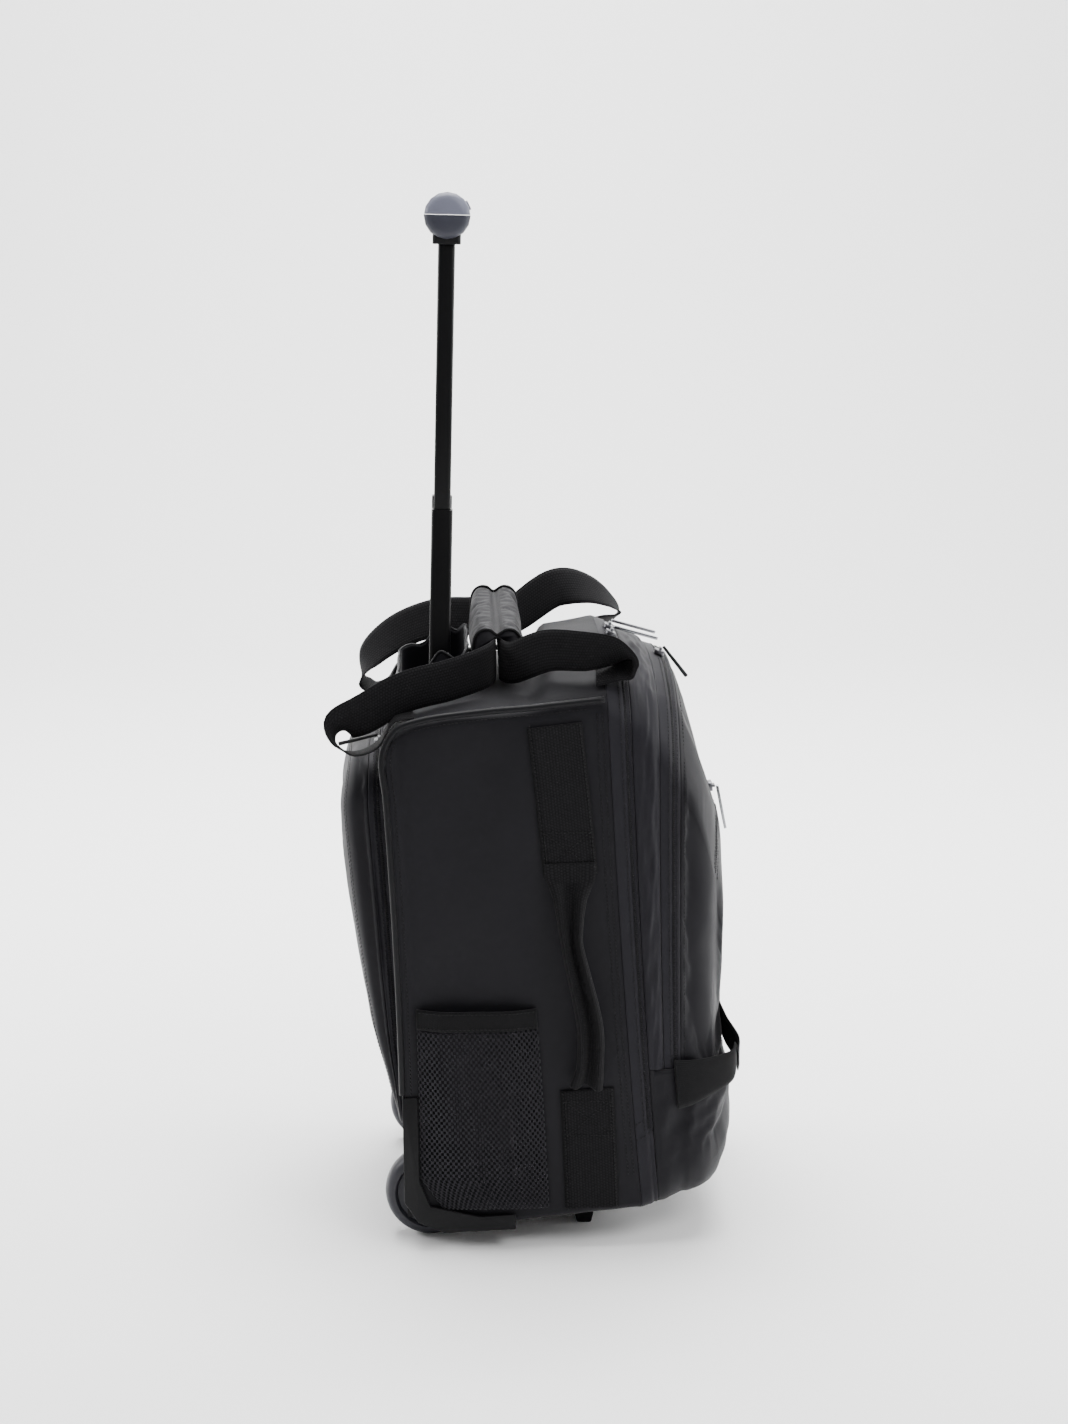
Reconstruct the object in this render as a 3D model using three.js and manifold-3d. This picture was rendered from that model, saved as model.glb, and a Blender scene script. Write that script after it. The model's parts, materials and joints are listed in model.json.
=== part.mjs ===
// Wheeled backpack with a two-stage trolley handle, standing on its wheels and front feet.
// Millimetres, +Z up. The pocket front looks along -Y, the wheels and the trolley are at +Y,
// and the side with the mesh pocket and the webbing handle is at -X.
import * as THREE from 'three';
import Module from 'manifold-3d';
import { mergeVertices } from 'three/addons/utils/BufferGeometryUtils.js';

const wasm = await Module();
wasm.setup();

// Clearances
const GAP = 0.4;
const RUN = 0.45;
const STANDOFF = 0.9;

// Bag body
const BAG_WIDTH = 330;
const SIDE_TOP = 500;
const SIDE_BULGE = 6;
const CROWN = 46;
const CLOTH = 2.2;
const BACK_OFFSET = 20.5;
const BACK_LEAN = 19.5;
const EDGE_ROUND = 8;
const LEVEL_LOW = 40;

// Depths of the layers, at the floor and how much wider each grows towards the top
const MAIN_DEPTH = 210;
const MAIN_FLARE = -14;
const ZIP_BAND = 15.5;
const ZIP_BAND_FLARE = 5;
const MID_DEPTH = 9.7;
const MID_FLARE = 16;
const FRONT_BAND = 12;
const FRONT_BAND_FLARE = 6.7;
const POCKET_DEPTH = 41;
const FLAP_HEIGHT = 166;
const LOWER_PROUD = 2.4;

// Back cover
const COVER_WIDTH = 274;
const COVER_LOW = 98;
const COVER_TOP = 446;
const COVER_DEPTH = 45;
const COVER_PAD = 3;
const COVER_GUSSET = 0.42;

// Piping and webbing
const PIPING_RADIUS = 2.6;
const WEBBING = 1.8;
const STRIP_WIDTH = 48;
const HANDLE_WEB_WIDTH = 37;
const SIDE_HANDLE_STANDOFF = 17;
const STRIP_DEPTH = 146;
const STRIP_DRIFT = 17.5;
const STRIP_BREAK_HIGH = 352;
const STRIP_BREAK_LOW = 150;

// Mesh pocket
const POCKET_TOP = 226;
const POCKET_LOW = 39;
const POCKET_BINDING = 18;
const POCKET_PUFF = 13;
const POCKET_SHEET = 1.4;
const POCKET_FRONT_TOP = 118;
const POCKET_FRONT_LOW = 127;
const POCKET_CORNER = 68;

// Wheels, axles and housings
const WHEEL_RADIUS = 41;
const WHEEL_WIDTH = 26;
const WHEEL_TRACK = 244;
const AXLE_RADIUS = 4;
const HOUSING_WALL = 2.5;
const HOUSING_ROOM = 3.2;
const HOUSING_SIDE_ROOM = 1.6;
const HOUSING_SKIRT = 21;

// Corner guards and feet
const GUARD_WALL = 2.4;
const GUARD_HEIGHT = 144;
const GUARD_LENGTH = 97;
const GUARD_LEG = 11;
const GUARD_RETURN = 22;
const FOOT_OFFSET = 89;
const FOOT_DEPTH = 141;
const FOOT_BASE = 13;
const FOOT_TOP = 26;
const FOOT_WIDTH = 34;

// Trolley handle: an inclined line through the wheel axle; heights run along that line
const HANDLE_TILT = 1.35;
const TUBE_SPACING = 116;
const UPPER_TUBE = { wide: 13, deep: 15, wall: 1.3 };
const LOWER_WALL = 1.5;
const CHANNEL_WALL = 1.8;
const CHANNEL_FOOT = -2;
const WELL_FLOOR = 428;
const LOWER_TUBE_TOP = 614;
const LOWER_TUBE_LENGTH = 350;
const UPPER_OVERLAP = 75;
const GRIP_HEIGHT = 871;
const GRIP_LENGTH = 150;
const GRIP_RADIUS = 20.5;
const GRIP_END_ROUND = 7;
const GRIP_WALL = 3;
const GRIP_SPLIT = 1;
const SOCKET_HEIGHT = 15;
const SOCKET_RIM = 4;
const BUTTON_ANGLE = 27;
const BUTTON_LENGTH = 34;
const BUTTON_WIDTH = 9;
const BUTTON_PROUD = 1.6;
const BUTTON_TRAVEL = 2.4;

// Fabric well round the tubes, open at its top
const WELL_WIDTH = 172;
const WELL_FRONT = 37;
const WELL_BACK = 27;
const WELL_WALL = 1.8;
const WELL_ROUND = 12;
const WELL_RIM_FRONT = 531;
const WELL_RIM_BACK = 506;

// Carrying handle wrap
const WRAP_LENGTH = 168;
const WRAP_WIDTH = 44;
const WRAP_HEIGHT = 47;
const WRAP_SLOT = 9;
const STRAP_SPREAD = 2.4;
const WRAP_SLOT_HEIGHT = 40;
const WRAP_DEPTH = 63;
const WRAP_REST = 535;
const WRAP_TILT = 5.5;

// Zip hardware
const SLIDER = { long: 15, wide: 9, high: 4.2 };
const PULL_LENGTH = 42;
const PULL_WIDE = 5.2;
const PULL_THICK = 2.4;
const CORD_PULL_RADIUS = 1.5;
const CORD_PULL_LENGTH = 36;
const MAIN_SLIDERS = [['main_zip_1', -44], ['main_zip_2', -16]];
const SECOND_SLIDER = -20;
const POCKET_SLIDER = -30;

// Compression wings, strap and buckle
const WING_HEIGHT = 46;
const WING_LEVEL = 152;
const WING_REACH = 9;
const WING_THICK = 3;
const FRONT_WEB_WIDTH = 25;
const FRONT_STRAP_RISE = 42;
const BUCKLE = { wide: 50, high: 34, thick: 8 };

const HALF = BAG_WIDTH / 2;
const WHEEL_X = WHEEL_TRACK / 2;
const STEPS = { corner: 2, side: 5, top: 9, bottom: 3 };

// Outline of the main body, from the back edge (0) to the front edge (1) of a side panel:
// depth is a share of the layer's depth; low and high are shares of SIDE_TOP; crown of CROWN
const MAIN_SECTIONS = [
  { depth: 0.0, low: 0.094, high: 0.922, crown: 0.1 },
  { depth: 0.055, low: 0.058, high: 0.948, crown: 0.2 },
  { depth: 0.16, low: 0.04, high: 0.964, crown: 0.22 },
  { depth: 0.46, low: 0.045, high: 0.98, crown: 0.16 },
  { depth: 0.65, low: 0.053, high: 0.986, crown: 0.2 },
  { depth: 0.77, low: 0.06, high: 0.991, crown: 0.9 },
  { depth: 1.0, low: 0.068, high: 1.0, crown: 0.96 },
];

// Outline at each seam in front of the body; half is a share of HALF, the rest as above,
// and round is the corner radius as a share of EDGE_ROUND
const SEAM_SECTIONS = {
  body: { half: 1.0, low: 0.068, high: 1.0, crown: 0.96, round: 1.5 },
  zip: { half: 0.988, low: 0.07, high: 0.992, crown: 0.82, round: 3 },
  mid: { half: 0.97, low: 0.073, high: 0.966, crown: 0.78, round: 4 },
  band: { half: 0.95, low: 0.078, high: 0.925, crown: 1.08, round: 5 },
};

// The pocket's dome from its seam (0) to its face (1)
const DOME_SECTIONS = [
  { reach: 0.0, half: 0.95, low: 0.078, high: 0.925, crown: 1.08, round: 5 },
  { reach: 0.48, half: 0.915, low: 0.082, high: 0.872, crown: 0.7, round: 5.5 },
  { reach: 0.8, half: 0.84, low: 0.095, high: 0.79, crown: 0.55, round: 6 },
  { reach: 0.95, half: 0.72, low: 0.13, high: 0.7, crown: 0.4, round: 6 },
  { reach: 1.0, half: 0.4, low: 0.25, high: 0.52, crown: 0.2, round: 5 },
];

// The back cover's thickness up its height: level and depth are shares of its height and depth
const COVER_PROFILE = [
  { level: 0.0, depth: 0.2 },
  { level: 0.12, depth: 0.36 },
  { level: 0.28, depth: 0.66 },
  { level: 0.48, depth: 0.86 },
  { level: 0.72, depth: 0.97 },
  { level: 0.85, depth: 1.0 },
  { level: 1.0, depth: 0.8 },
];

// Rings of the back cover from the gusset seam to its face; reach is a share of its thickness
const COVER_RINGS = [
  { reach: 0.0, shrink: 0 },
  { reach: 0.55, shrink: 3 },
  { reach: 0.86, shrink: 14 },
  { reach: 1.0, shrink: 36 },
];

// Half of a carrying strap from the wrap to its sewn end. side is a share of HALF; depth, in from
// the handle line, and rise above the bag's top are shares of STRAP_REACH and STRAP_RISE;
// across, along and up give the direction of the band's width
const STRAP_REACH = 200;
const STRAP_RISE = 50;
const BACK_STRAP_NEAR = [
  { side: 0.66, depth: -0.25, rise: 0.5, across: 0.0, along: 0.1, up: 1 },
  { side: 0.79, depth: -0.1, rise: 0.46, across: 0.0, along: 0, up: 1 },
  { side: 0.85, depth: 0.1, rise: 0.46, across: 0.1, along: 0, up: 1 },
  { side: 0.88, depth: 0.28, rise: 0.46, across: 0.15, along: 0, up: 1 },
  { side: 0.89, depth: 0.385, rise: 0.26, across: 0.5, along: 0, up: 1 },
  { side: 0.88, depth: 0.4, rise: -0.04, across: 1, along: 0, up: 0.4 },
  { side: 0.87, depth: 0.33, rise: -0.24, across: 1, along: 0, up: 0.1 },
  { side: 0.86, depth: 0.22, rise: -0.1, across: 1, along: 0, up: 0 },
  { side: 0.855, depth: 0.14, rise: 0.09, across: 1, along: 0, up: -0.08 },
  { side: 0.85, depth: 0.06, rise: 0.032, across: 1, along: 0, up: -0.08 },
];
const BACK_STRAP_FAR = [
  { side: 0.66, depth: -0.22, rise: 0.78, across: 0.1, along: 0.1, up: 1 },
  { side: 0.78, depth: -0.04, rise: 0.8, across: 0.2, along: 0, up: 1 },
  { side: 0.85, depth: 0.16, rise: 0.76, across: 0.4, along: 0, up: 1 },
  { side: 0.88, depth: 0.3, rise: 0.46, across: 0.8, along: 0, up: 1 },
  { side: 0.88, depth: 0.32, rise: 0.06, across: 1, along: 0, up: 0.4 },
  { side: 0.87, depth: 0.27, rise: -0.08, across: 1, along: 0, up: 0.1 },
  { side: 0.86, depth: 0.2, rise: 0.04, across: 1, along: 0, up: 0 },
  { side: 0.855, depth: 0.14, rise: 0.1, across: 1, along: 0, up: -0.08 },
  { side: 0.85, depth: 0.06, rise: 0.032, across: 1, along: 0, up: -0.08 },
];
const FRONT_STRAP_NEAR = [
  { side: 0.64, depth: -0.375, rise: 0.52, across: 0, along: 0, up: 1 },
  { side: 0.79, depth: -0.53, rise: 0.56, across: 0.05, along: 0, up: 1 },
  { side: 0.86, depth: -0.68, rise: 0.56, across: 0.2, along: 0, up: 1 },
  { side: 0.88, depth: -0.82, rise: 0.54, across: 0.6, along: 0, up: 0.7 },
  { side: 0.88, depth: -0.9, rise: 0.4, across: 1, along: 0, up: 0.2 },
  { side: 0.87, depth: -0.9, rise: 0.26, across: 1, along: 0, up: -0.3 },
  { side: 0.84, depth: -0.84, rise: 0.15, across: 1, along: 0, up: -0.45 },
  { side: 0.82, depth: -0.74, rise: 0.045, across: 1, along: 0, up: -0.47 },
];
const FRONT_STRAP_FAR = [
  { side: 0.64, depth: -0.4, rise: 0.7, across: 0, along: 0, up: 1 },
  { side: 0.78, depth: -0.62, rise: 0.82, across: 0.2, along: 0, up: 1 },
  { side: 0.85, depth: -0.78, rise: 0.8, across: 0.8, along: 0, up: 0.7 },
  { side: 0.88, depth: -0.89, rise: 0.6, across: 1, along: 0, up: 0.3 },
  { side: 0.87, depth: -0.93, rise: 0.36, across: 1, along: 0, up: 0.1 },
  { side: 0.86, depth: -0.91, rise: 0.24, across: 1, along: 0, up: -0.3 },
  { side: 0.84, depth: -0.84, rise: 0.15, across: 1, along: 0, up: -0.45 },
  { side: 0.82, depth: -0.74, rise: 0.045, across: 1, along: 0, up: -0.47 },
];

// The gathered side handle from the upper strip to the lower one: level and proud are shares of
// its height and SIDE_HANDLE_STANDOFF, wide of STRIP_WIDTH
const SIDE_HANDLE_ROWS = [
  { level: 1.03, proud: 0.0, wide: 0.94, drift: 0.0 },
  { level: 0.96, proud: 0.1, wide: 0.9, drift: -0.02 },
  { level: 0.88, proud: 0.45, wide: 0.62, drift: -0.06 },
  { level: 0.8, proud: 0.8, wide: 0.5, drift: -0.09 },
  { level: 0.69, proud: 0.95, wide: 0.4, drift: -0.1 },
  { level: 0.32, proud: 1.0, wide: 0.49, drift: 0.11 },
  { level: 0.13, proud: 0.7, wide: 0.5, drift: 0.07 },
  { level: 0.02, proud: 0.3, wide: 0.62, drift: -0.02 },
];

// Colours of the materials
const MATERIALS = {
  fabric: { color: 0x2b2a30, roughness: 0.72, metalness: 0 },
  gusset: { color: 0x232228, roughness: 0.78, metalness: 0 },
  webbing: { color: 0x141417, roughness: 0.85, metalness: 0 },
  mesh: { color: 0x1a1a1e, roughness: 0.9, metalness: 0 },
  tube: { color: 0x0e0e10, roughness: 0.32, metalness: 0.6 },
  guard: { color: 0x101013, roughness: 0.55, metalness: 0 },
  wheel: { color: 0x5a5c62, roughness: 0.5, metalness: 0 },
  gripLight: { color: 0x8a8c96, roughness: 0.45, metalness: 0 },
  gripDark: { color: 0x45464f, roughness: 0.5, metalness: 0 },
  chrome: { color: 0xd5d7da, roughness: 0.15, metalness: 1 },
  steel: { color: 0x9a9ca0, roughness: 0.35, metalness: 1 },
  cord: { color: 0x17171a, roughness: 0.8, metalness: 0 },
};

const model = new THREE.Group();

// Small helpers

const mix = (from, to, share) => from + (to - from) * share;
const clamp = (value, low, high) => Math.min(high, Math.max(low, value));
const degrees = (angle) => THREE.MathUtils.degToRad(angle);

// Reads a table along one of its columns and blends the rows on either side
function lookUp(rows, key, value, column) {
  const after = rows.findIndex((row) => row[key] >= value);
  if (after <= 0) {
    return after === 0 ? rows[0][column] : rows[rows.length - 1][column];
  }
  const [a, b] = [rows[after - 1], rows[after]];
  return mix(a[column], b[column], (value - a[key]) / (b[key] - a[key]));
}

function materialOf(name) {
  return new THREE.MeshStandardMaterial(MATERIALS[name]);
}

function add(name, material, geometry, parent = model) {
  const mesh = new THREE.Mesh(geometry, materialOf(material));
  mesh.name = name;
  parent.add(mesh);
  return mesh;
}

// Turns a closed geometry's faces outwards
function outward(geometry) {
  const index = geometry.index.array;
  const at = geometry.attributes.position;
  const [a, b, c] = [new THREE.Vector3(), new THREE.Vector3(), new THREE.Vector3()];
  let volume = 0;
  for (let i = 0; i < index.length; i += 3) {
    a.fromBufferAttribute(at, index[i]);
    b.fromBufferAttribute(at, index[i + 1]);
    c.fromBufferAttribute(at, index[i + 2]);
    volume += a.dot(b.cross(c));
  }
  if (volume < 0) {
    for (let i = 0; i < index.length; i += 3) {
      [index[i + 1], index[i + 2]] = [index[i + 2], index[i + 1]];
    }
  }
  geometry.computeVertexNormals();
  return geometry;
}

function meshFrom(points, faces) {
  const geometry = new THREE.BufferGeometry();
  const values = points.flatMap((p) => [p.x, p.y, p.z]);
  geometry.setAttribute('position', new THREE.Float32BufferAttribute(values, 3));
  geometry.setIndex(faces.flat());
  return outward(geometry);
}

// Skins a list of rings with equal point counts; ends are closed by a fan, or joined to each other
function skin(rings, joined = false) {
  const count = rings[0].length;
  const points = rings.flat();
  const faces = [];
  const spans = joined ? rings.length : rings.length - 1;
  for (let r = 0; r < spans; r += 1) {
    const here = r * count;
    const next = ((r + 1) % rings.length) * count;
    for (let i = 0; i < count; i += 1) {
      const j = (i + 1) % count;
      faces.push([here + i, here + j, next + j], [here + i, next + j, next + i]);
    }
  }
  if (!joined) {
    for (const [first, turned] of [[0, true], [(rings.length - 1) * count, false]]) {
      const ring = points.slice(first, first + count);
      const centre = ring.reduce((sum, p) => sum.add(p), new THREE.Vector3()).divideScalar(count);
      const hub = points.push(centre) - 1;
      for (let i = 0; i < count; i += 1) {
        const j = (i + 1) % count;
        faces.push(turned ? [hub, first + j, first + i] : [hub, first + i, first + j]);
      }
    }
  }
  return meshFrom(points, faces);
}

function plainPositions(geometry) {
  const bare = geometry.clone();
  for (const name of Object.keys(bare.attributes)) {
    if (name !== 'position') {
      bare.deleteAttribute(name);
    }
  }
  return mergeVertices(bare, 1e-4);
}

function solid(geometry) {
  const bare = plainPositions(geometry);
  return new wasm.Manifold(new wasm.Mesh({
    numProp: 3,
    vertProperties: new Float32Array(bare.attributes.position.array),
    triVerts: new Uint32Array(bare.index.array),
  }));
}

function geometryOf(body) {
  const mesh = body.getMesh();
  const geometry = new THREE.BufferGeometry();
  geometry.setAttribute('position', new THREE.Float32BufferAttribute(mesh.vertProperties, 3));
  geometry.setIndex(Array.from(mesh.triVerts));
  geometry.computeVertexNormals();
  return geometry;
}

const common = (a, b) => geometryOf(solid(a).intersect(solid(b)));

function subtract(from, ...cuts) {
  return geometryOf(cuts.reduce((body, cut) => body.subtract(solid(cut)), solid(from)));
}

function unite(first, ...more) {
  return geometryOf(more.reduce((body, other) => body.add(solid(other)), solid(first)));
}

function box(wide, deep, high, x = 0, y = 0, z = 0) {
  return new THREE.BoxGeometry(wide, deep, high).translate(x, y, z);
}

// A cylinder whose axis runs along X
function barrel(radius, length, sides = 24) {
  return new THREE.CylinderGeometry(radius, radius, length, sides).rotateZ(Math.PI / 2);
}

// Extrudes an outline of [y, z] points along X, from x0 to x1
function prismX(outline, x0, x1) {
  const shape = new THREE.Shape(outline.map(([y, z]) => new THREE.Vector2(y, z)));
  const geometry = new THREE.ExtrudeGeometry(shape, { depth: x1 - x0, bevelEnabled: false, steps: 1 });
  const turn = new THREE.Matrix4().makeBasis(
    new THREE.Vector3(0, 1, 0), new THREE.Vector3(0, 0, 1), new THREE.Vector3(1, 0, 0));
  return plainPositions(geometry.applyMatrix4(turn).translate(x0, 0, 0));
}

// A rectangle with round corners as a closed shape
function roundedShape(wide, deep, round) {
  const [w, d] = [wide / 2, deep / 2];
  const shape = new THREE.Shape();
  shape.moveTo(-w + round, -d);
  shape.lineTo(w - round, -d);
  shape.absarc(w - round, -d + round, round, -Math.PI / 2, 0, false);
  shape.lineTo(w, d - round);
  shape.absarc(w - round, d - round, round, 0, Math.PI / 2, false);
  shape.lineTo(-w + round, d);
  shape.absarc(-w + round, d - round, round, Math.PI / 2, Math.PI, false);
  shape.lineTo(-w, -d + round);
  shape.absarc(-w + round, -d + round, round, Math.PI, Math.PI * 1.5, false);
  return shape;
}

// A round-cornered post standing on z0, hollow when a wall is given
function post(wide, deep, round, z0, z1, wall = 0) {
  const shape = roundedShape(wide, deep, round);
  if (wall > 0) {
    shape.holes.push(roundedShape(wide - 2 * wall, deep - 2 * wall, Math.max(0.4, round - wall)));
  }
  const extrude = { depth: z1 - z0, bevelEnabled: false, curveSegments: 2 };
  return plainPositions(new THREE.ExtrudeGeometry(shape, extrude).translate(0, 0, z0));
}

// The body's form

const layerDepth = (depth, flare, level) => depth + flare * level;
const levelAt = (z) => (z - LEVEL_LOW) / (SIDE_TOP - LEVEL_LOW);

// How far each seam bows forward at mid height
const SEAM_BOWS = { back: -5, body: 3, zip: 3, mid: 3.5, band: 2 };

function seamY(seam, z) {
  const level = levelAt(z);
  const bow = SEAM_BOWS[seam] * 4 * level * (1 - level);
  let y = BACK_OFFSET + BACK_LEAN * level;
  const layers = [
    ['body', MAIN_DEPTH, MAIN_FLARE],
    ['zip', ZIP_BAND, ZIP_BAND_FLARE],
    ['mid', MID_DEPTH, MID_FLARE],
    ['band', FRONT_BAND, FRONT_BAND_FLARE],
  ];
  if (seam !== 'back') {
    for (const [name, depth, flare] of layers) {
      y -= layerDepth(depth, flare, level);
      if (name === seam) {
        break;
      }
    }
  }
  return y + bow;
}

// Outward bulge of the side panels at a height
function sideBulge(z) {
  const t = clamp(z / SIDE_TOP, 0, 1);
  return SIDE_BULGE * 6.75 * (1 - t) * t * t;
}

function crownAt(x, half, crown) {
  return crown * (1 - Math.min(1, Math.abs(x / half)) ** 2.5);
}

// One closed outline in the X-Z plane: a round-cornered rectangle with bulged sides and a crown
function sectionLoop({ half, low, high, crown, round }) {
  const points = [];
  const corner = (cx, cz, from) => {
    for (let i = 1; i < STEPS.corner; i += 1) {
      const angle = from + (Math.PI / 2) * (i / STEPS.corner);
      points.push([cx + round * Math.cos(angle), cz + round * Math.sin(angle)]);
    }
  };
  const line = (x0, z0, x1, z1, count) => {
    for (let i = 0; i <= count; i += 1) {
      points.push([mix(x0, x1, i / count), mix(z0, z1, i / count)]);
    }
  };
  line(-half + round, low, half - round, low, STEPS.bottom);
  corner(half - round, low + round, -Math.PI / 2);
  line(half, low + round, half, high - round, STEPS.side);
  corner(half - round, high - round, 0);
  line(half - round, high, -half + round, high, STEPS.top);
  corner(-half + round, high - round, Math.PI / 2);
  line(-half, high - round, -half, low + round, STEPS.side);
  corner(-half + round, low + round, Math.PI);
  return points.map(([x, z]) => {
    const upper = clamp((z - (high - round)) / round, 0, 1);
    const bulge = sideBulge(z) * Math.abs(x / half) ** 6;
    return [x + Math.sign(x) * bulge, z + upper * crownAt(x, half, crown)];
  });
}

// Moves a closed outline inwards by a distance
function inset(loop, distance) {
  const count = loop.length;
  return loop.map(([x, z], i) => {
    const [px, pz] = loop[(i + count - 1) % count];
    const [nx, nz] = loop[(i + 1) % count];
    const length = Math.hypot(nx - px, nz - pz);
    return [x - ((nz - pz) / length) * distance, z + ((nx - px) / length) * distance];
  });
}

const place = (loop, yAt) => loop.map(([x, z]) => new THREE.Vector3(x, yAt(z), z));

function sizedRow(row) {
  return {
    half: HALF * (row.half ?? 1),
    low: SIDE_TOP * row.low,
    high: SIDE_TOP * row.high,
    crown: CROWN * row.crown,
    round: EDGE_ROUND * (row.round ?? 1),
  };
}

// Height of the body's top and underside at a depth share of the side panel
const mainShare = (y, z) => clamp((seamY('back', z) - y) / (seamY('back', z) - seamY('body', z)), 0, 1);
const panelTop = (y) => SIDE_TOP * lookUp(MAIN_SECTIONS, 'depth', mainShare(y, SIDE_TOP), 'high');
const panelLow = (y) => SIDE_TOP * lookUp(MAIN_SECTIONS, 'depth', mainShare(y, LEVEL_LOW), 'low');

function topAt(x, y) {
  const crown = CROWN * lookUp(MAIN_SECTIONS, 'depth', mainShare(y, SIDE_TOP), 'crown');
  return panelTop(y) + crownAt(x, HALF, crown);
}

// Piece: main body, a hollow tub open at its front, cut for the trolley well and the wheels

function bodyTub() {
  const outer = MAIN_SECTIONS.map((row) => {
    const shareY = (z) => mix(seamY('back', z), seamY('body', z), row.depth);
    return { loop: sectionLoop(sizedRow(row)), yAt: shareY, depth: row.depth };
  });
  const rings = outer.map(({ loop, yAt, depth }) => {
    return place(loop, (z) => yAt(z) + (depth === 1 ? GAP / 2 : 0));
  });
  const inner = outer.map(({ loop, yAt, depth }) => {
    const shift = depth === 0 ? -CLOTH : depth === 1 ? GAP / 2 : 0;
    return place(inset(loop, CLOTH), (z) => yAt(z) + shift);
  });
  const back = outer[0];
  const backHalf = (shift, wall) => place(inset(back.loop, wall), (z) => back.yAt(z) + shift)
    .map((p) => {
      const z = mix(SIDE_TOP / 2, p.z, 0.5);
      return new THREE.Vector3(p.x / 2, back.yAt(z) + shift, z);
    });
  return skin([backHalf(0, 0), ...rings, ...inner.reverse(), backHalf(-CLOTH, CLOTH)]);
}

const axleCentre = () => new THREE.Vector3(0, 0, WHEEL_RADIUS);
const housingRadius = () => WHEEL_RADIUS + HOUSING_ROOM + HOUSING_WALL;
const housingWidth = () => WHEEL_WIDTH + 2 * (HOUSING_SIDE_ROOM + HOUSING_WALL);

// The fabric well's outline in plan, grown outwards by a distance
function wellPost(grow, z0, z1) {
  const deep = WELL_FRONT + WELL_BACK + 2 * grow;
  const post0 = post(WELL_WIDTH + 2 * grow, deep, WELL_ROUND + grow, z0, z1);
  return post0.translate(0, (WELL_BACK - WELL_FRONT) / 2, 0);
}

function bodyShell() {
  const cuts = [wellPost(GAP, WELL_FLOOR - 60, SIDE_TOP + 2 * CROWN)];
  for (const side of [-1, 1]) {
    const arch = barrel(housingRadius() + GAP, housingWidth() + 2 * GAP, 22);
    cuts.push(arch.translate(side * WHEEL_X, 0, WHEEL_RADIUS));
  }
  add('body_shell', 'fabric', subtract(bodyTub(), ...cuts));
}

// Pieces: the bands and compartments in front of the body

// A strip that runs round between two seams, its mid line pushed out by puff
function seamBand(from, to, wall, puff) {
  const a = sectionLoop(sizedRow(SEAM_SECTIONS[from]));
  const b = sectionLoop(sizedRow(SEAM_SECTIONS[to]));
  const middle = inset(a.map(([x, z], i) => [(x + b[i][0]) / 2, (z + b[i][1]) / 2]), -puff);
  const midY = (z) => (seamY(from, z) + seamY(to, z)) / 2;
  const nearY = (z) => seamY(from, z) - GAP / 2;
  const farY = (z) => seamY(to, z) + GAP / 2;
  return {
    outer: [place(a, nearY), place(middle, midY), place(b, farY)],
    inner: [place(inset(a, wall), nearY), place(inset(middle, wall), midY), place(inset(b, wall), farY)],
  };
}

function bandRing(from, to, wall, puff) {
  const { outer, inner } = seamBand(from, to, wall, puff);
  return skin([...outer, ...inner.reverse()], true);
}

// A gusset closed at its back by a panel, so that it is a tray open to the front
function tray(from, to, wall, puff) {
  const { outer, inner } = seamBand(from, to, wall, puff);
  const back = inner[0].map((p) => new THREE.Vector3(p.x, p.y - wall, p.z));
  return skin([...outer, inner[2], inner[1], back]);
}

function domeSkin(start, wall, grow) {
  const rows = DOME_SECTIONS.map((row) => ({ ...row, sized: sizedRow(row) }));
  const ringAt = (row, wallIn) => place(
    inset(sectionLoop(row.sized), wallIn - grow),
    (z) => Math.min(start(z), seamY('band', z) - row.reach * (POCKET_DEPTH + grow) + wallIn));
  const outer = rows.map((row) => ringAt(row, 0));
  const inner = rows.map((row) => ringAt(row, wall));
  return { outer, inner };
}

function domeShell(start, wall) {
  const { outer, inner } = domeSkin(start, wall, 0);
  return skin([...outer].reverse().concat(inner));
}

const WORK_BOX = 2000;

// Everything above, or below, the flap seam
function flapHalf(above) {
  const edge = FLAP_HEIGHT + (above ? GAP / 2 : -GAP / 2);
  return box(WORK_BOX, WORK_BOX, WORK_BOX, 0, 0, edge + (above ? WORK_BOX / 2 : -WORK_BOX / 2));
}

function frontLayers() {
  const upper = flapHalf(true);
  add('main_zip_band', 'gusset', bandRing('body', 'zip', CLOTH, 0.6));
  add('mid_compartment', 'gusset', common(tray('zip', 'mid', CLOTH, 3), upper));
  add('front_zip_band', 'gusset', common(bandRing('mid', 'band', CLOTH, 0.6), upper));
  const start = (z) => seamY('band', z) - GAP / 2;
  add('front_pocket', 'fabric', common(domeShell(start, CLOTH), upper));
  add('lower_pocket', 'fabric', lowerPocket());
}

// The lower front section: one cup under the flap seam, open at its top
function lowerPocket() {
  const rows = ['zip', 'mid'].map((name) => sectionLoop(sizedRow(SEAM_SECTIONS[name])));
  const { outer, inner } = domeSkin((z) => seamY('band', z), CLOTH, LOWER_PROUD);
  const startY = (z) => seamY('zip', z) - GAP / 2;
  const bulge = inset(rows[1], -LOWER_PROUD);
  const outerRings = [place(rows[0], startY), place(bulge, (z) => seamY('mid', z)), ...outer];
  const innerRings = [
    place(inset(rows[0], CLOTH), (z) => startY(z) - CLOTH),
    place(inset(bulge, CLOTH), (z) => seamY('mid', z)),
    ...inner,
  ];
  const full = skin([...outerRings].reverse());
  const hollow = skin([...innerRings].reverse());
  return common(subtract(full, hollow), flapHalf(false));
}

// Pieces: back cover and its gusset

function coverDepth(z) {
  const level = clamp((z - COVER_LOW) / (COVER_TOP - COVER_LOW), 0, 1);
  return COVER_DEPTH * lookUp(COVER_PROFILE, 'level', level, 'depth');
}

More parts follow.
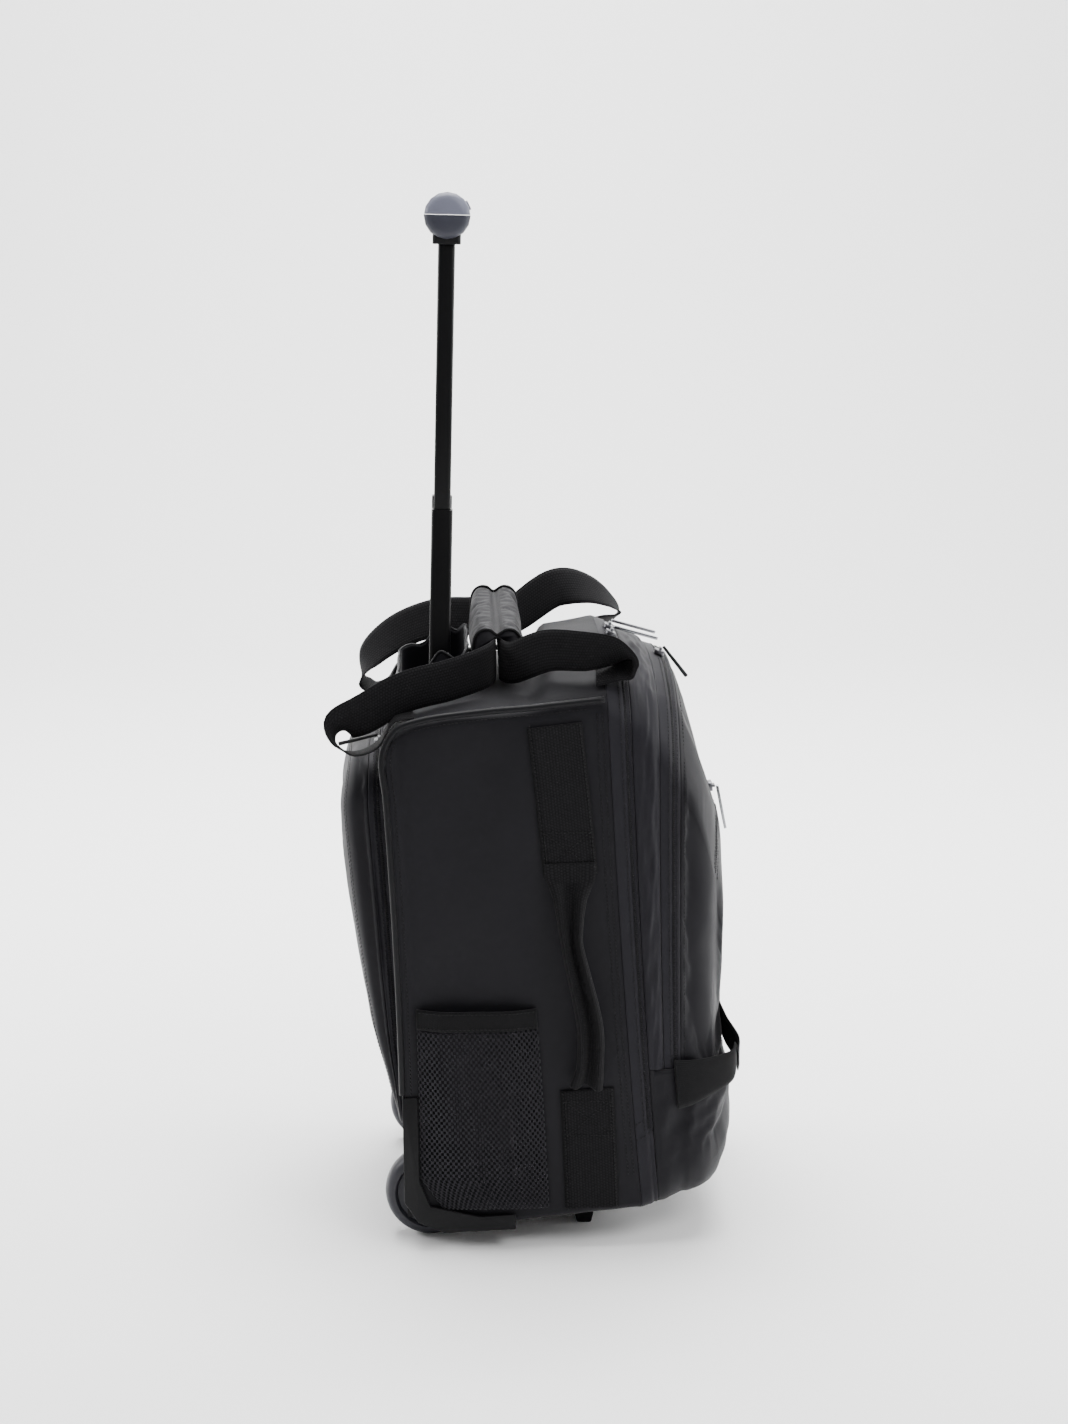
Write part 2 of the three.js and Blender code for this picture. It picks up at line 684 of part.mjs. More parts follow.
function coverLoop(shrink) {
  return sectionLoop({
    half: COVER_WIDTH / 2 - shrink,
    low: COVER_LOW + shrink,
    high: COVER_TOP - shrink,
    crown: 0,
    round: Math.max(EDGE_ROUND, 5 * EDGE_ROUND - shrink / 2),
  });
}

function backCover() {
  const surface = (share) => (z) => seamY('back', z) + 2 * GAP + coverDepth(z) * share;
  const gusset = (wall, share, gap) => place(inset(coverLoop(0), wall), (z) => surface(share)(z) + gap);
  add('back_gusset', 'gusset', skin([
    gusset(0, 0, 0), gusset(0, COVER_GUSSET, 0), gusset(CLOTH, COVER_GUSSET, 0), gusset(CLOTH, 0, 0),
  ], true));
  const ring = (row, wall) => place(
    inset(coverLoop(row.shrink), wall),
    (z) => surface(mix(COVER_GUSSET, 1, row.reach))(z) + GAP - (row.reach > 0 ? wall : 0));
  const outer = COVER_RINGS.map((row) => ring(row, 0));
  const inner = COVER_RINGS.map((row) => ring(row, COVER_PAD));
  add('back_cover', 'fabric', skin([...outer].reverse().concat(inner)));
}

// Pieces: piping along each side panel's top and back edges

function piping() {
  const high = [];
  for (const row of [...MAIN_SECTIONS].reverse()) {
    const z = SIDE_TOP * row.high;
    const y = mix(seamY('back', z), seamY('body', z), row.depth);
    high.push([y, z]);
  }
  const edge = PIPING_RADIUS + GAP;
  const path = high.slice(0, -1).map(([y, z]) => [y, z + edge * 0.5]);
  path[0][0] += edge;
  const backTop = high[high.length - 1][1];
  const end = GUARD_HEIGHT + edge;
  for (let i = 0; i <= 8; i += 1) {
    const z = mix(backTop - EDGE_ROUND, end, i / 8);
    path.push([seamY('back', z) + edge, z]);
  }
  for (const [name, side] of [['near', -1], ['far', 1]]) {
    const curve = new THREE.CatmullRomCurve3(path.map(([y, z]) => {
      return new THREE.Vector3(side * (HALF + sideBulge(z) * 0.9 + edge * 0.45), y, z);
    }));
    const section = new THREE.Shape();
    section.absarc(0, 0, PIPING_RADIUS, 0, Math.PI * 2, false);
    const tube = new THREE.ExtrudeGeometry(section, { extrudePath: curve, steps: 26, curveSegments: 2 });
    add(`piping_${name}`, 'gusset', outward(plainPositions(tube)));
  }
}

// Flat bands

// A band of even thickness through stations; each has a point, a width direction and a width
function band(stations, thick, samples) {
  const curve = new THREE.CatmullRomCurve3(stations.map((s) => s.point), false, 'centripetal');
  const rings = [];
  for (let i = 0; i <= samples; i += 1) {
    const u = i / samples;
    const at = u * (stations.length - 1);
    const k = Math.min(stations.length - 2, Math.floor(at));
    const blend = at - k;
    const tangent = curve.getTangent(u);
    const wide = stations[k].across.clone().lerp(stations[k + 1].across, blend);
    wide.addScaledVector(tangent, -wide.dot(tangent)).normalize();
    const normal = new THREE.Vector3().crossVectors(tangent, wide);
    const half = mix(stations[k].width, stations[k + 1].width, blend) / 2;
    const centre = curve.getPoint(u);
    const corner = (a, b) => {
      return centre.clone().addScaledVector(wide, a * half).addScaledVector(normal, b * thick / 2);
    };
    rings.push([corner(-1, -1), corner(1, -1), corner(1, 1), corner(-1, 1)]);
  }
  return skin(rings);
}

const sideX = (z, proud) => -(HALF + sideBulge(z) + proud);

// Line of the side webbing: it leans back with the bag
const stripY = (z) => seamY('back', z) - STRIP_DEPTH - STRIP_DRIFT * (1 - levelAt(z)) - WEBBING;

function sideStrip(name, low, high) {
  const rows = 8;
  const stations = [];
  for (let i = 0; i <= rows; i += 1) {
    const z = mix(low, high, i / rows);
    stations.push({
      point: new THREE.Vector3(sideX(z, STANDOFF + WEBBING / 2), stripY(z), z),
      across: new THREE.Vector3(0, 1, 0),
      width: STRIP_WIDTH,
    });
  }
  add(name, 'webbing', band(stations, WEBBING, 2 * rows));
}

function sideHandle() {
  const height = STRIP_BREAK_HIGH - STRIP_BREAK_LOW;
  const base = STANDOFF + 1.5 * WEBBING + GAP;
  const stations = SIDE_HANDLE_ROWS.map((row) => {
    const z = STRIP_BREAK_LOW + height * row.level;
    const proud = base + SIDE_HANDLE_STANDOFF * row.proud;
    return {
      point: new THREE.Vector3(sideX(z, proud), stripY(z) - STRIP_WIDTH * row.drift, z),
      across: new THREE.Vector3(0, 1, 0),
      width: STRIP_WIDTH * row.wide,
    };
  });
  add('side_handle', 'webbing', band(stations, WEBBING, 20));
}

function sideWebbing() {
  sideStrip('side_strip_upper', STRIP_BREAK_HIGH - 6, panelTop(stripY(SIDE_TOP)) - 2 * EDGE_ROUND);
  sideStrip('side_strip_lower', panelLow(stripY(LEVEL_LOW)) + EDGE_ROUND, STRIP_BREAK_LOW);
  sideHandle();
}

// Piece: mesh pocket, a sheet that stands off the side panel, and its bound top edge

function pocketSheet(low, high, thick, lift) {
  const [columns, rows] = [8, 6];
  const grids = [0, thick].map((out) => {
    const grid = [];
    for (let r = 0; r <= rows; r += 1) {
      const z = mix(low, high, r / rows);
      const level = (z - POCKET_LOW) / (POCKET_TOP - POCKET_LOW);
      const front = seamY('back', z) - mix(POCKET_FRONT_LOW, POCKET_FRONT_TOP, level);
      const back = seamY('back', z) - GUARD_LEG - 2 * GAP - Math.max(0, POCKET_CORNER - z) * 0.7;
      for (let c = 0; c <= columns; c += 1) {
        const share = c / columns;
        const gather = 1 + 0.14 * Math.sin(share * 3 * Math.PI);
        const swell = Math.sin(Math.PI * share) ** 0.7 * Math.sin(Math.PI * (0.08 + 0.62 * level));
        const proud = STANDOFF + lift + POCKET_PUFF * swell * gather + out;
        grid.push(new THREE.Vector3(sideX(z, proud), mix(back, front, share), z));
      }
    }
    return grid;
  });
  return slab(grids[0], grids[1], columns, rows);
}

// Closes two equal grids of points into one solid sheet
function slab(inner, outer, columns, rows) {
  const points = [...inner, ...outer];
  const across = columns + 1;
  const shift = inner.length;
  const at = (r, c, side) => r * across + c + side * shift;
  const faces = [];
  for (let r = 0; r < rows; r += 1) {
    for (let c = 0; c < columns; c += 1) {
      const [a, b, d, e] = [[r, c], [r, c + 1], [r + 1, c + 1], [r + 1, c]];
      faces.push([at(...a, 1), at(...b, 1), at(...d, 1)], [at(...a, 1), at(...d, 1), at(...e, 1)]);
      faces.push([at(...a, 0), at(...d, 0), at(...b, 0)], [at(...a, 0), at(...e, 0), at(...d, 0)]);
    }
  }
  const rim = [];
  for (let c = 0; c < columns; c += 1) {
    rim.push([0, c]);
  }
  for (let r = 0; r < rows; r += 1) {
    rim.push([r, columns]);
  }
  for (let c = columns; c > 0; c -= 1) {
    rim.push([rows, c]);
  }
  for (let r = rows; r > 0; r -= 1) {
    rim.push([r, 0]);
  }
  rim.forEach(([r, c], i) => {
    const [nr, nc] = rim[(i + 1) % rim.length];
    faces.push([at(r, c, 0), at(nr, nc, 0), at(nr, nc, 1)], [at(r, c, 0), at(nr, nc, 1), at(r, c, 1)]);
  });
  return meshFrom(points, faces);
}

function meshPocket() {
  const seam = POCKET_TOP - POCKET_BINDING;
  add('mesh_pocket', 'mesh', pocketSheet(POCKET_LOW, seam - GAP, POCKET_SHEET, 0));
  add('pocket_binding', 'webbing', pocketSheet(seam, POCKET_TOP, POCKET_SHEET + 0.8, -0.4));
}

// Pieces: corner guards

// Outline of the guarded corner, from the top of the upright leg to the end of the foot leg
function guardLine(distance) {
  const line = [];
  for (const share of [1, 0.7, 0.46]) {
    const z = GUARD_HEIGHT * share;
    line.push([seamY('back', z), z]);
  }
  const corner = MAIN_SECTIONS.slice(0, 3).map((row) => {
    const z = SIDE_TOP * row.low;
    return [mix(seamY('back', z), seamY('body', z), row.depth), z];
  });
  line.push(...corner);
  const end = seamY('back', LEVEL_LOW) - GUARD_LENGTH;
  for (const y of [mix(corner[2][0], end, 0.5), end]) {
    line.push([y, panelLow(y)]);
  }
  return line.map(([y, z], i) => {
    const [py, pz] = line[Math.max(0, i - 1)];
    const [ny, nz] = line[Math.min(line.length - 1, i + 1)];
    const length = Math.hypot(ny - py, nz - pz);
    return [y - ((nz - pz) / length) * distance, z + ((ny - py) / length) * distance];
  });
}

function guards() {
  const outer = guardLine(GAP + GUARD_WALL);
  const inner = guardLine(GAP);
  const leg = guardLine(-GUARD_LEG);
  const inside = [leg[4][0] - GUARD_LEG * 0.2, leg[4][1] + GUARD_LEG * 0.4];
  const notch = [leg[7], leg[6], inside, leg[2], leg[1], leg[0]];
  const plateX = HALF + sideBulge(GUARD_HEIGHT) + GAP;
  for (const [name, side] of [['near', -1], ['far', 1]]) {
    const plate = prismX([...outer, ...notch], plateX, plateX + GUARD_WALL);
    const skirt = [...outer, ...[...inner].reverse()];
    const flange = prismX(skirt, HALF - GUARD_RETURN, plateX + GUARD_WALL / 2);
    const guard = unite(plate, flange);
    if (side < 0) {
      guard.applyMatrix4(new THREE.Matrix4().makeScale(-1, 1, 1));
    }
    add(`guard_${name}`, 'guard', outward(guard));
  }
}

// Pieces: wheels with their housings and axles

function wheelProfile() {
  const half = WHEEL_WIDTH / 2;
  const bore = AXLE_RADIUS + RUN;
  const points = [[bore, -half], [bore + 6, -half], [bore + 8, -half + 4]];
  points.push([WHEEL_RADIUS * 0.72, -half + 4], [WHEEL_RADIUS * 0.78, -half]);
  for (let i = 1; i < 4; i += 1) {
    const angle = Math.PI * (i / 4);
    points.push([WHEEL_RADIUS * (0.78 + 0.22 * Math.sin(angle) ** 0.7), -half * Math.cos(angle)]);
  }
  points.push([WHEEL_RADIUS * 0.78, half], [WHEEL_RADIUS * 0.72, half - 4], [bore + 8, half - 4]);
  points.push([bore + 6, half], [bore, half], [bore, -half]);
  return points.map(([radius, x]) => new THREE.Vector2(radius, x));
}

function wheelHousing() {
  const centre = axleCentre();
  const radius = housingRadius();
  const width = housingWidth();
  const round = barrel(radius, width, 22).translate(0, 0, centre.z);
  const room = barrel(WHEEL_RADIUS + HOUSING_ROOM, width - 2 * HOUSING_WALL, 22);
  room.translate(0, 0, centre.z);
  const backEdge = BACK_OFFSET + GAP;
  const kept = box(width * 2, radius + backEdge, radius * 2, 0, (backEdge - radius) / 2, HOUSING_SKIRT + radius);
  const bore = barrel(AXLE_RADIUS + GAP / 2, width * 2, 16).translate(0, 0, centre.z);
  return subtract(common(round, kept), room, bore);
}

function wheels() {
  for (const [name, side] of [['near', -1], ['far', 1]]) {
    const x = side * WHEEL_X;
    const lathe = new THREE.LatheGeometry(wheelProfile(), 20).rotateZ(-Math.PI / 2);
    const wheel = add(`wheel_${name}`, 'wheel', outward(plainPositions(lathe)));
    wheel.position.set(x, 0, WHEEL_RADIUS);
    const housing = add(`wheel_housing_${name}`, 'guard', wheelHousing());
    housing.position.x = x;
    const pin = barrel(AXLE_RADIUS - GAP / 4, housingWidth(), 16);
    const axle = add(`axle_${name}`, 'steel', plainPositions(pin));
    axle.position.set(x, 0, WHEEL_RADIUS);
  }
}

function feet() {
  const y = -FOOT_DEPTH;
  const outline = [
    [y + FOOT_BASE / 2, 0],
    [y + FOOT_TOP / 2, panelLow(y + FOOT_TOP / 2) - GAP],
    [y - FOOT_TOP / 2, panelLow(y - FOOT_TOP / 2) - GAP],
    [y - FOOT_BASE / 2, 0],
  ];
  for (const [name, side] of [['near', -1], ['far', 1]]) {
    const x = side * FOOT_OFFSET;
    add(`foot_${name}`, 'guard', prismX(outline, x - FOOT_WIDTH / 2, x + FOOT_WIDTH / 2));
  }
}

// Pieces: trolley handle, in a frame whose Z runs up the tubes and whose origin is the axle

const trolley = new THREE.Group();
trolley.position.copy(axleCentre());
trolley.rotation.x = degrees(HANDLE_TILT);
model.add(trolley);

const grown = (tube, clearance, wall) => ({
  wide: tube.wide + 2 * (clearance + wall),
  deep: tube.deep + 2 * (clearance + wall),
  wall,
});
const LOWER_TUBE = grown(UPPER_TUBE, RUN, LOWER_WALL);
const CHANNEL = grown(LOWER_TUBE, RUN, CHANNEL_WALL);

function tubes() {
  const socketFoot = GRIP_HEIGHT - GRIP_RADIUS - SOCKET_RIM;
  for (const [name, side] of [['near', -1], ['far', 1]]) {
    const pieces = [
      [`channel_${name}`, CHANNEL, CHANNEL_FOOT, WELL_FLOOR - WELL_WALL - GAP],
      [`tube_lower_${name}`, LOWER_TUBE, LOWER_TUBE_TOP - LOWER_TUBE_LENGTH, LOWER_TUBE_TOP],
      [`tube_upper_${name}`, UPPER_TUBE, LOWER_TUBE_TOP - UPPER_OVERLAP, socketFoot + SOCKET_HEIGHT - 2],
    ];
    for (const [node, tube, low, high] of pieces) {
      const mesh = add(node, 'tube', post(tube.wide, tube.deep, 3, low, high, tube.wall), trolley);
      mesh.position.x = side * TUBE_SPACING / 2;
    }
  }
}

function gripForm(radius, length) {
  const half = length / 2;
  const round = Math.min(GRIP_END_ROUND, radius * 0.6);
  const points = [new THREE.Vector2(0, -half)];
  for (let i = 0; i <= 3; i += 1) {
    const angle = (Math.PI / 2) * (i / 3);
    const [out, along] = [round * Math.sin(angle), round * Math.cos(angle)];
    points.push(new THREE.Vector2(radius - round + out, round - half - along));
  }
  for (const point of [...points].reverse()) {
    points.push(new THREE.Vector2(point.x, -point.y));
  }
  return plainPositions(new THREE.LatheGeometry(points, 16).rotateZ(Math.PI / 2));
}

function grip() {
  const frame = new THREE.Group();
  frame.position.z = GRIP_HEIGHT;
  trolley.add(frame);
  const socketTop = SOCKET_HEIGHT - GRIP_RADIUS - SOCKET_RIM;
  const shell = subtract(gripForm(GRIP_RADIUS, GRIP_LENGTH),
    gripForm(GRIP_RADIUS - GRIP_WALL, GRIP_LENGTH - 2 * GRIP_WALL));
  const sockets = [-1, 1].map((side) => {
    const wide = LOWER_TUBE.wide + 2 * GAP + 6;
    const deep = LOWER_TUBE.deep + 2 * GAP + 6;
    const block = post(wide, deep, 4, -GRIP_RADIUS - SOCKET_RIM - 1, socketTop + GAP);
    return block.translate(side * TUBE_SPACING / 2, 0, 0);
  });
  const turn = degrees(90 - BUTTON_ANGLE);
  const [slotLong, slotWide] = [BUTTON_LENGTH + 2 * GAP, BUTTON_WIDTH + 2 * GAP];
  const buttonSlot = box(slotLong, slotWide, GRIP_RADIUS * 2, 0, 0, GRIP_RADIUS).rotateX(turn);
  const below = box(WORK_BOX, WORK_BOX, WORK_BOX, 0, 0, GRIP_SPLIT - GAP / 2 - WORK_BOX / 2);
  const above = box(WORK_BOX, WORK_BOX, WORK_BOX, 0, 0, GRIP_SPLIT + GAP / 2 + WORK_BOX / 2);
  add('grip_upper', 'gripLight', subtract(common(shell, above), buttonSlot), frame);
  add('grip_lower', 'gripDark', subtract(common(shell, below), ...sockets), frame);
  for (const [name, side] of [['near', -1], ['far', 1]]) {
    const wide = LOWER_TUBE.wide + 6;
    const deep = LOWER_TUBE.deep + 6;
    const block = post(wide, deep, 4, -GRIP_RADIUS - SOCKET_RIM, socketTop);
    const hole = post(UPPER_TUBE.wide + 2 * GAP, UPPER_TUBE.deep + 2 * GAP, 3,
      -GRIP_RADIUS * 2, socketTop - 2 + GAP);
    const socket = add(`grip_socket_${name}`, 'guard', subtract(block, hole), frame);
    socket.position.x = side * TUBE_SPACING / 2;
  }
  const [foot, top] = [GRIP_RADIUS - GRIP_WALL - BUTTON_TRAVEL, GRIP_RADIUS + BUTTON_PROUD];
  const pad = post(BUTTON_LENGTH, BUTTON_WIDTH, 3, foot, top).rotateX(turn);
  add('grip_button', 'gripLight', pad, frame);
}

// Piece: the fabric well, a sleeve with a floor that lets the tubes through and a sloping rim

function handleWell() {
  const low = WHEEL_RADIUS + WELL_FLOOR - WELL_WALL;
  const high = SIDE_TOP + CROWN + WELL_RIM_FRONT;
  const sleeve = wellPost(0, low, high);
  const room = wellPost(-WELL_WALL, low + WELL_WALL, high + WELL_WALL);
  const rise = (WELL_RIM_FRONT - WELL_RIM_BACK) / (WELL_FRONT + WELL_BACK);
  const reach = WELL_FRONT * 2;
  const rimAt = (y) => WELL_RIM_BACK + (WELL_BACK - y) * rise;
  const over = [[reach, rimAt(reach)], [reach, 2 * high], [-reach, 2 * high], [-reach, rimAt(-reach)]];
  const above = prismX(over, -WELL_WIDTH, WELL_WIDTH);
  const holes = [-1, 1].map((side) => {
    const [wide, deep] = [LOWER_TUBE.wide + 2 * GAP, LOWER_TUBE.deep + 2 * GAP];
    const hole = post(wide, deep, 3, 0, WELL_FLOOR + WELL_RIM_FRONT);
    hole.translate(side * TUBE_SPACING / 2, 0, 0);
    return hole.applyMatrix4(new THREE.Matrix4().makeRotationX(degrees(HANDLE_TILT)));
  });
  holes.forEach((hole) => hole.translate(0, 0, WHEEL_RADIUS));
  add('handle_well', 'gusset', subtract(sleeve, room, above, ...holes));
}

// Pieces: carrying straps through the wrap

const wrapFrame = new THREE.Group();
wrapFrame.position.set(0, -WRAP_DEPTH, WRAP_REST);
wrapFrame.rotation.y = degrees(-WRAP_TILT);
model.add(wrapFrame);

// The point where a strap lies in the wrap, at a distance along the wrap's axis
function wrapPoint(along, offset) {
  wrapFrame.updateMatrixWorld(true);
  const lift = (WRAP_SLOT_HEIGHT - WRAP_HEIGHT) / 2;
  return wrapFrame.localToWorld(new THREE.Vector3(along, offset, lift));
}

function strapStations(rows, side) {
  return rows.map((row) => ({
    point: new THREE.Vector3(side * HALF * row.side, STRAP_REACH * row.depth,
      topAt(HALF * row.side, STRAP_REACH * row.depth) + STRAP_RISE * row.rise),
    across: new THREE.Vector3(side * row.across, row.along, row.up),
    width: HANDLE_WEB_WIDTH,
  }));
}

function carryStrap(name, near, far, offset) {
  const inside = [-0.5, -0.4, -0.2, 0.2, 0.4, 0.5].map((share) => ({
    point: wrapPoint(WRAP_LENGTH * share, offset),
    across: new THREE.Vector3(0, 0, 1),
    width: HANDLE_WEB_WIDTH,
  }));
  const stations = [...strapStations(near, -1).reverse(), ...inside, ...strapStations(far, 1)];
  add(name, 'webbing', band(stations, WEBBING, 38));
}

function carryHandle() {
  const offset = STRAP_SPREAD;
  carryStrap('handle_strap_back', BACK_STRAP_NEAR, BACK_STRAP_FAR, offset);
  carryStrap('handle_strap_front', FRONT_STRAP_NEAR, FRONT_STRAP_FAR, -offset);
  const shape = roundedShape(WRAP_WIDTH, WRAP_HEIGHT, WRAP_WIDTH * 0.28);
  const pad = new THREE.ExtrudeGeometry(shape, {
    depth: WRAP_LENGTH - 8, bevelEnabled: true, bevelSize: 3, bevelThickness: 4, bevelOffset: -3,
    bevelSegments: 1, curveSegments: 3,
  });
  pad.translate(0, 0, 4 - WRAP_LENGTH / 2).rotateX(Math.PI / 2).rotateZ(Math.PI / 2);
  const slotMid = -WRAP_HEIGHT / 2 + WRAP_SLOT_HEIGHT / 2 - 1;
  const slot = box(WRAP_LENGTH + 20, WRAP_SLOT, WRAP_SLOT_HEIGHT + 2, 0, 0, slotMid);
  add('handle_wrap', 'fabric', subtract(plainPositions(pad), slot), wrapFrame);
}

// Zip hardware

// A slider with its bridge, lying on z = 0 and running along Y
function sliderForm() {
  const body = post(SLIDER.wide, SLIDER.long, 3, 0, SLIDER.high);
  const bridge = box(2.4, SLIDER.long * 0.6, 3, 0, 0, SLIDER.high + 1.2);
  return unite(body, bridge);
}

// A flat bar puller lying on z = 0, its eye at the origin and its bar along -Y
function pullForm(length) {
  const bar = post(PULL_WIDE, length, PULL_WIDE * 0.4, 0, PULL_THICK).translate(0, -length / 2, 0);
  const eye = box(PULL_WIDE * 0.45, 4, PULL_THICK * 2, 0, -4, PULL_THICK / 2);
  return subtract(bar, eye);
}

// Places a form made on z = 0 at a point, its local -Y laid along a direction and its Z along up
function mount(geometry, point, along, up) {
  const y = along.clone().negate().normalize();
  const z = up.clone().addScaledVector(y, -up.dot(y)).normalize();
  const x = new THREE.Vector3().crossVectors(y, z);
  geometry.applyMatrix4(new THREE.Matrix4().makeBasis(x, y, z));
  return geometry.translate(point.x, point.y, point.z);
}

function addSlider(name, point, along, up, pull) {
  add(`${name}_slider`, 'steel', mount(sliderForm(), point, along, up));
  if (pull) {
    const start = point.clone().addScaledVector(up, SLIDER.high + 3.4).addScaledVector(along, 2);
    add(`${name}_puller`, pull.material, mount(pull.form(), start, pull.along, pull.up ?? up));
  }
}

function cordForm(length) {
  const cord = new THREE.CylinderGeometry(CORD_PULL_RADIUS, CORD_PULL_RADIUS * 1.3, length, 8);
  return plainPositions(cord.translate(0, -length / 2 - 1, CORD_PULL_RADIUS));
}

// Where a seam runs over the top of the bag, at a distance from its middle
function topLine(seam, x) {
  const row = sizedRow(SEAM_SECTIONS[seam]);
  const z = row.high + crownAt(x, row.half, row.crown);
  return new THREE.Vector3(x, seamY(seam, z), z);
}

function zipHardware() {
  const chrome = (along) => ({ material: 'chrome', form: () => pullForm(PULL_LENGTH), along });
  const cord = (length, along) => ({ material: 'cord', form: () => cordForm(length), along });
  const forward = (a, b) => b.clone().sub(a).normalize();
  const upOf = (a, b) => {
    const run = forward(a, b);
    return new THREE.Vector3(0, run.z, -run.y);
  };
  const away = new THREE.Vector3(-1, 0, 0);
  for (const [name, x] of MAIN_SLIDERS) {
    const [body, zip] = [topLine('body', x), topLine('zip', x)];
    const point = body.clone().lerp(zip, 0.5).addScaledVector(upOf(body, zip), 0.9);
    addSlider(name, point, away, upOf(body, zip), chrome(new THREE.Vector3(0, -1, -0.28)));
  }
  const [mid, bandTop] = [topLine('mid', SECOND_SLIDER), topLine('band', SECOND_SLIDER)];
  const midUp = upOf(mid, bandTop);
  const midPoint = mid.clone().lerp(bandTop, 0.5).addScaledVector(midUp, 1.1);
  addSlider('mid_zip', midPoint, away, midUp, cord(CORD_PULL_LENGTH, new THREE.Vector3(0.1, -0.62, -0.8)));
  const [high, low] = [DOME_SECTIONS[2], DOME_SECTIONS[3]].map((row) => {
    const { high: top, crown } = sizedRow(row);
    const y = seamY('band', top + crown) - row.reach * POCKET_DEPTH;
    return new THREE.Vector3(POCKET_SLIDER, y, top + crown);
  });
  const faceUp = upOf(high, low);
  const pocketPoint = high.clone().lerp(low, 0.5).addScaledVector(faceUp, 0.9);
  addSlider('pocket_zip', pocketPoint, away, faceUp, chrome(new THREE.Vector3(0, -0.2, -1)));
  const gussetY = seamY('back', COVER_TOP) + COVER_GUSSET * coverDepth(COVER_TOP) / 2;
  const backPoint = new THREE.Vector3(-COVER_WIDTH * 0.3, gussetY, COVER_TOP + 0.9);
  const up = new THREE.Vector3(0, 0, 1);
  addSlider('back_zip', backPoint, away, up, cord(CORD_PULL_LENGTH, new THREE.Vector3(-0.1, 0.9, -0.2)));
}

// Compression wings, strap and buckle

const faceY = (z) => seamY('band', z) - POCKET_DEPTH;

// A place on the compression line: how far round from the seam, out from the face and up
function compressionRow(side, x, y, rise, width) {
  return {
    point: new THREE.Vector3(side * x, y, WING_LEVEL + rise),
    across: new THREE.Vector3(0, 0, 1),
    width,
  };
}

function wingStations(side) {
  const seam = seamY('band', WING_LEVEL);
  const face = faceY(WING_LEVEL) - LOWER_PROUD;
  const edge = HALF * mix(SEAM_SECTIONS.band.half, SEAM_SECTIONS.mid.half, 0.4) + LOWER_PROUD;
  const root = edge + sideBulge(WING_LEVEL + WING_HEIGHT / 2) + GAP + WING_THICK / 2;
  return [
    compressionRow(side, root, seam + FRONT_BAND * 0.4, 0, WING_HEIGHT),
    compressionRow(side, root - 2, seam - 6, 1, WING_HEIGHT * 0.94),
    compressionRow(side, root - 9, mix(seam, face, 0.6), 5, WING_HEIGHT * 0.76),
    compressionRow(side, root - 22, face - WING_REACH * 0.45, 11, WING_HEIGHT * 0.6),
    compressionRow(side, root - 40, face - WING_REACH, 15, FRONT_WEB_WIDTH),
  ];
}

function compression() {
  for (const [name, side] of [['near', -1], ['far', 1]]) {
    add(`wing_${name}`, 'webbing', band(wingStations(side), WING_THICK, 12));
  }
  const tip = wingStations(1)[4].point;
  const proud = (WING_THICK + WEBBING) / 2 + GAP;
  const rest = faceY(WING_LEVEL + FRONT_STRAP_RISE - BUCKLE.high / 2) - GAP;
  const half = [
    [tip.x + 8, tip.y - proud + 1.5, 12],
    [tip.x - 4, tip.y - proud - 0.4, 17],
    [tip.x * 0.72, mix(tip.y, rest, 0.45), 28],
    [tip.x * 0.42, mix(tip.y, rest, 0.85), 38],
    [BUCKLE.wide * 0.4, rest - BUCKLE.thick / 2, FRONT_STRAP_RISE],
  ];
  const stations = [-1, 1].map((side) => half.map(([x, y, rise]) => {
    return compressionRow(side, x, y, rise, FRONT_WEB_WIDTH);
  }));
  add('front_strap', 'webbing', band([...stations[0], ...stations[1].reverse()], WEBBING, 20));
  const plate = post(BUCKLE.wide, BUCKLE.high, 5, 0, BUCKLE.thick);
  const slot = box(BUCKLE.wide * 2, FRONT_WEB_WIDTH + 6 * GAP, WEBBING + 3 * GAP, 0, 0, BUCKLE.thick / 2);
  const buckle = subtract(plate, slot).rotateX(Math.PI / 2);
  buckle.translate(0, rest, WING_LEVEL + FRONT_STRAP_RISE);
  add('front_buckle', 'guard', buckle);
}

bodyShell();
frontLayers();
backCover();
piping();
sideWebbing();
meshPocket();
guards();
wheels();
feet();
tubes();
grip();
handleWell();
carryHandle();
zipHardware();
compression();

// The origin is on the ground under the middle of the whole object
const bounds = new THREE.Box3().setFromObject(model);
const centre = bounds.getCenter(new THREE.Vector3());
const backpack = new THREE.Group();
model.position.set(-centre.x, -centre.y, -bounds.min.z);
backpack.add(model);

export default backpack;
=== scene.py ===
"""Dresses a wheeled backpack around its solids: cloth, webbing, zips, plastics and metal.

Lengths are in millimetres in the bag's own frame, whose origin is on the ground under the
wheel axles, and are turned into metres in the frame of the solids when a mesh is made.
"""

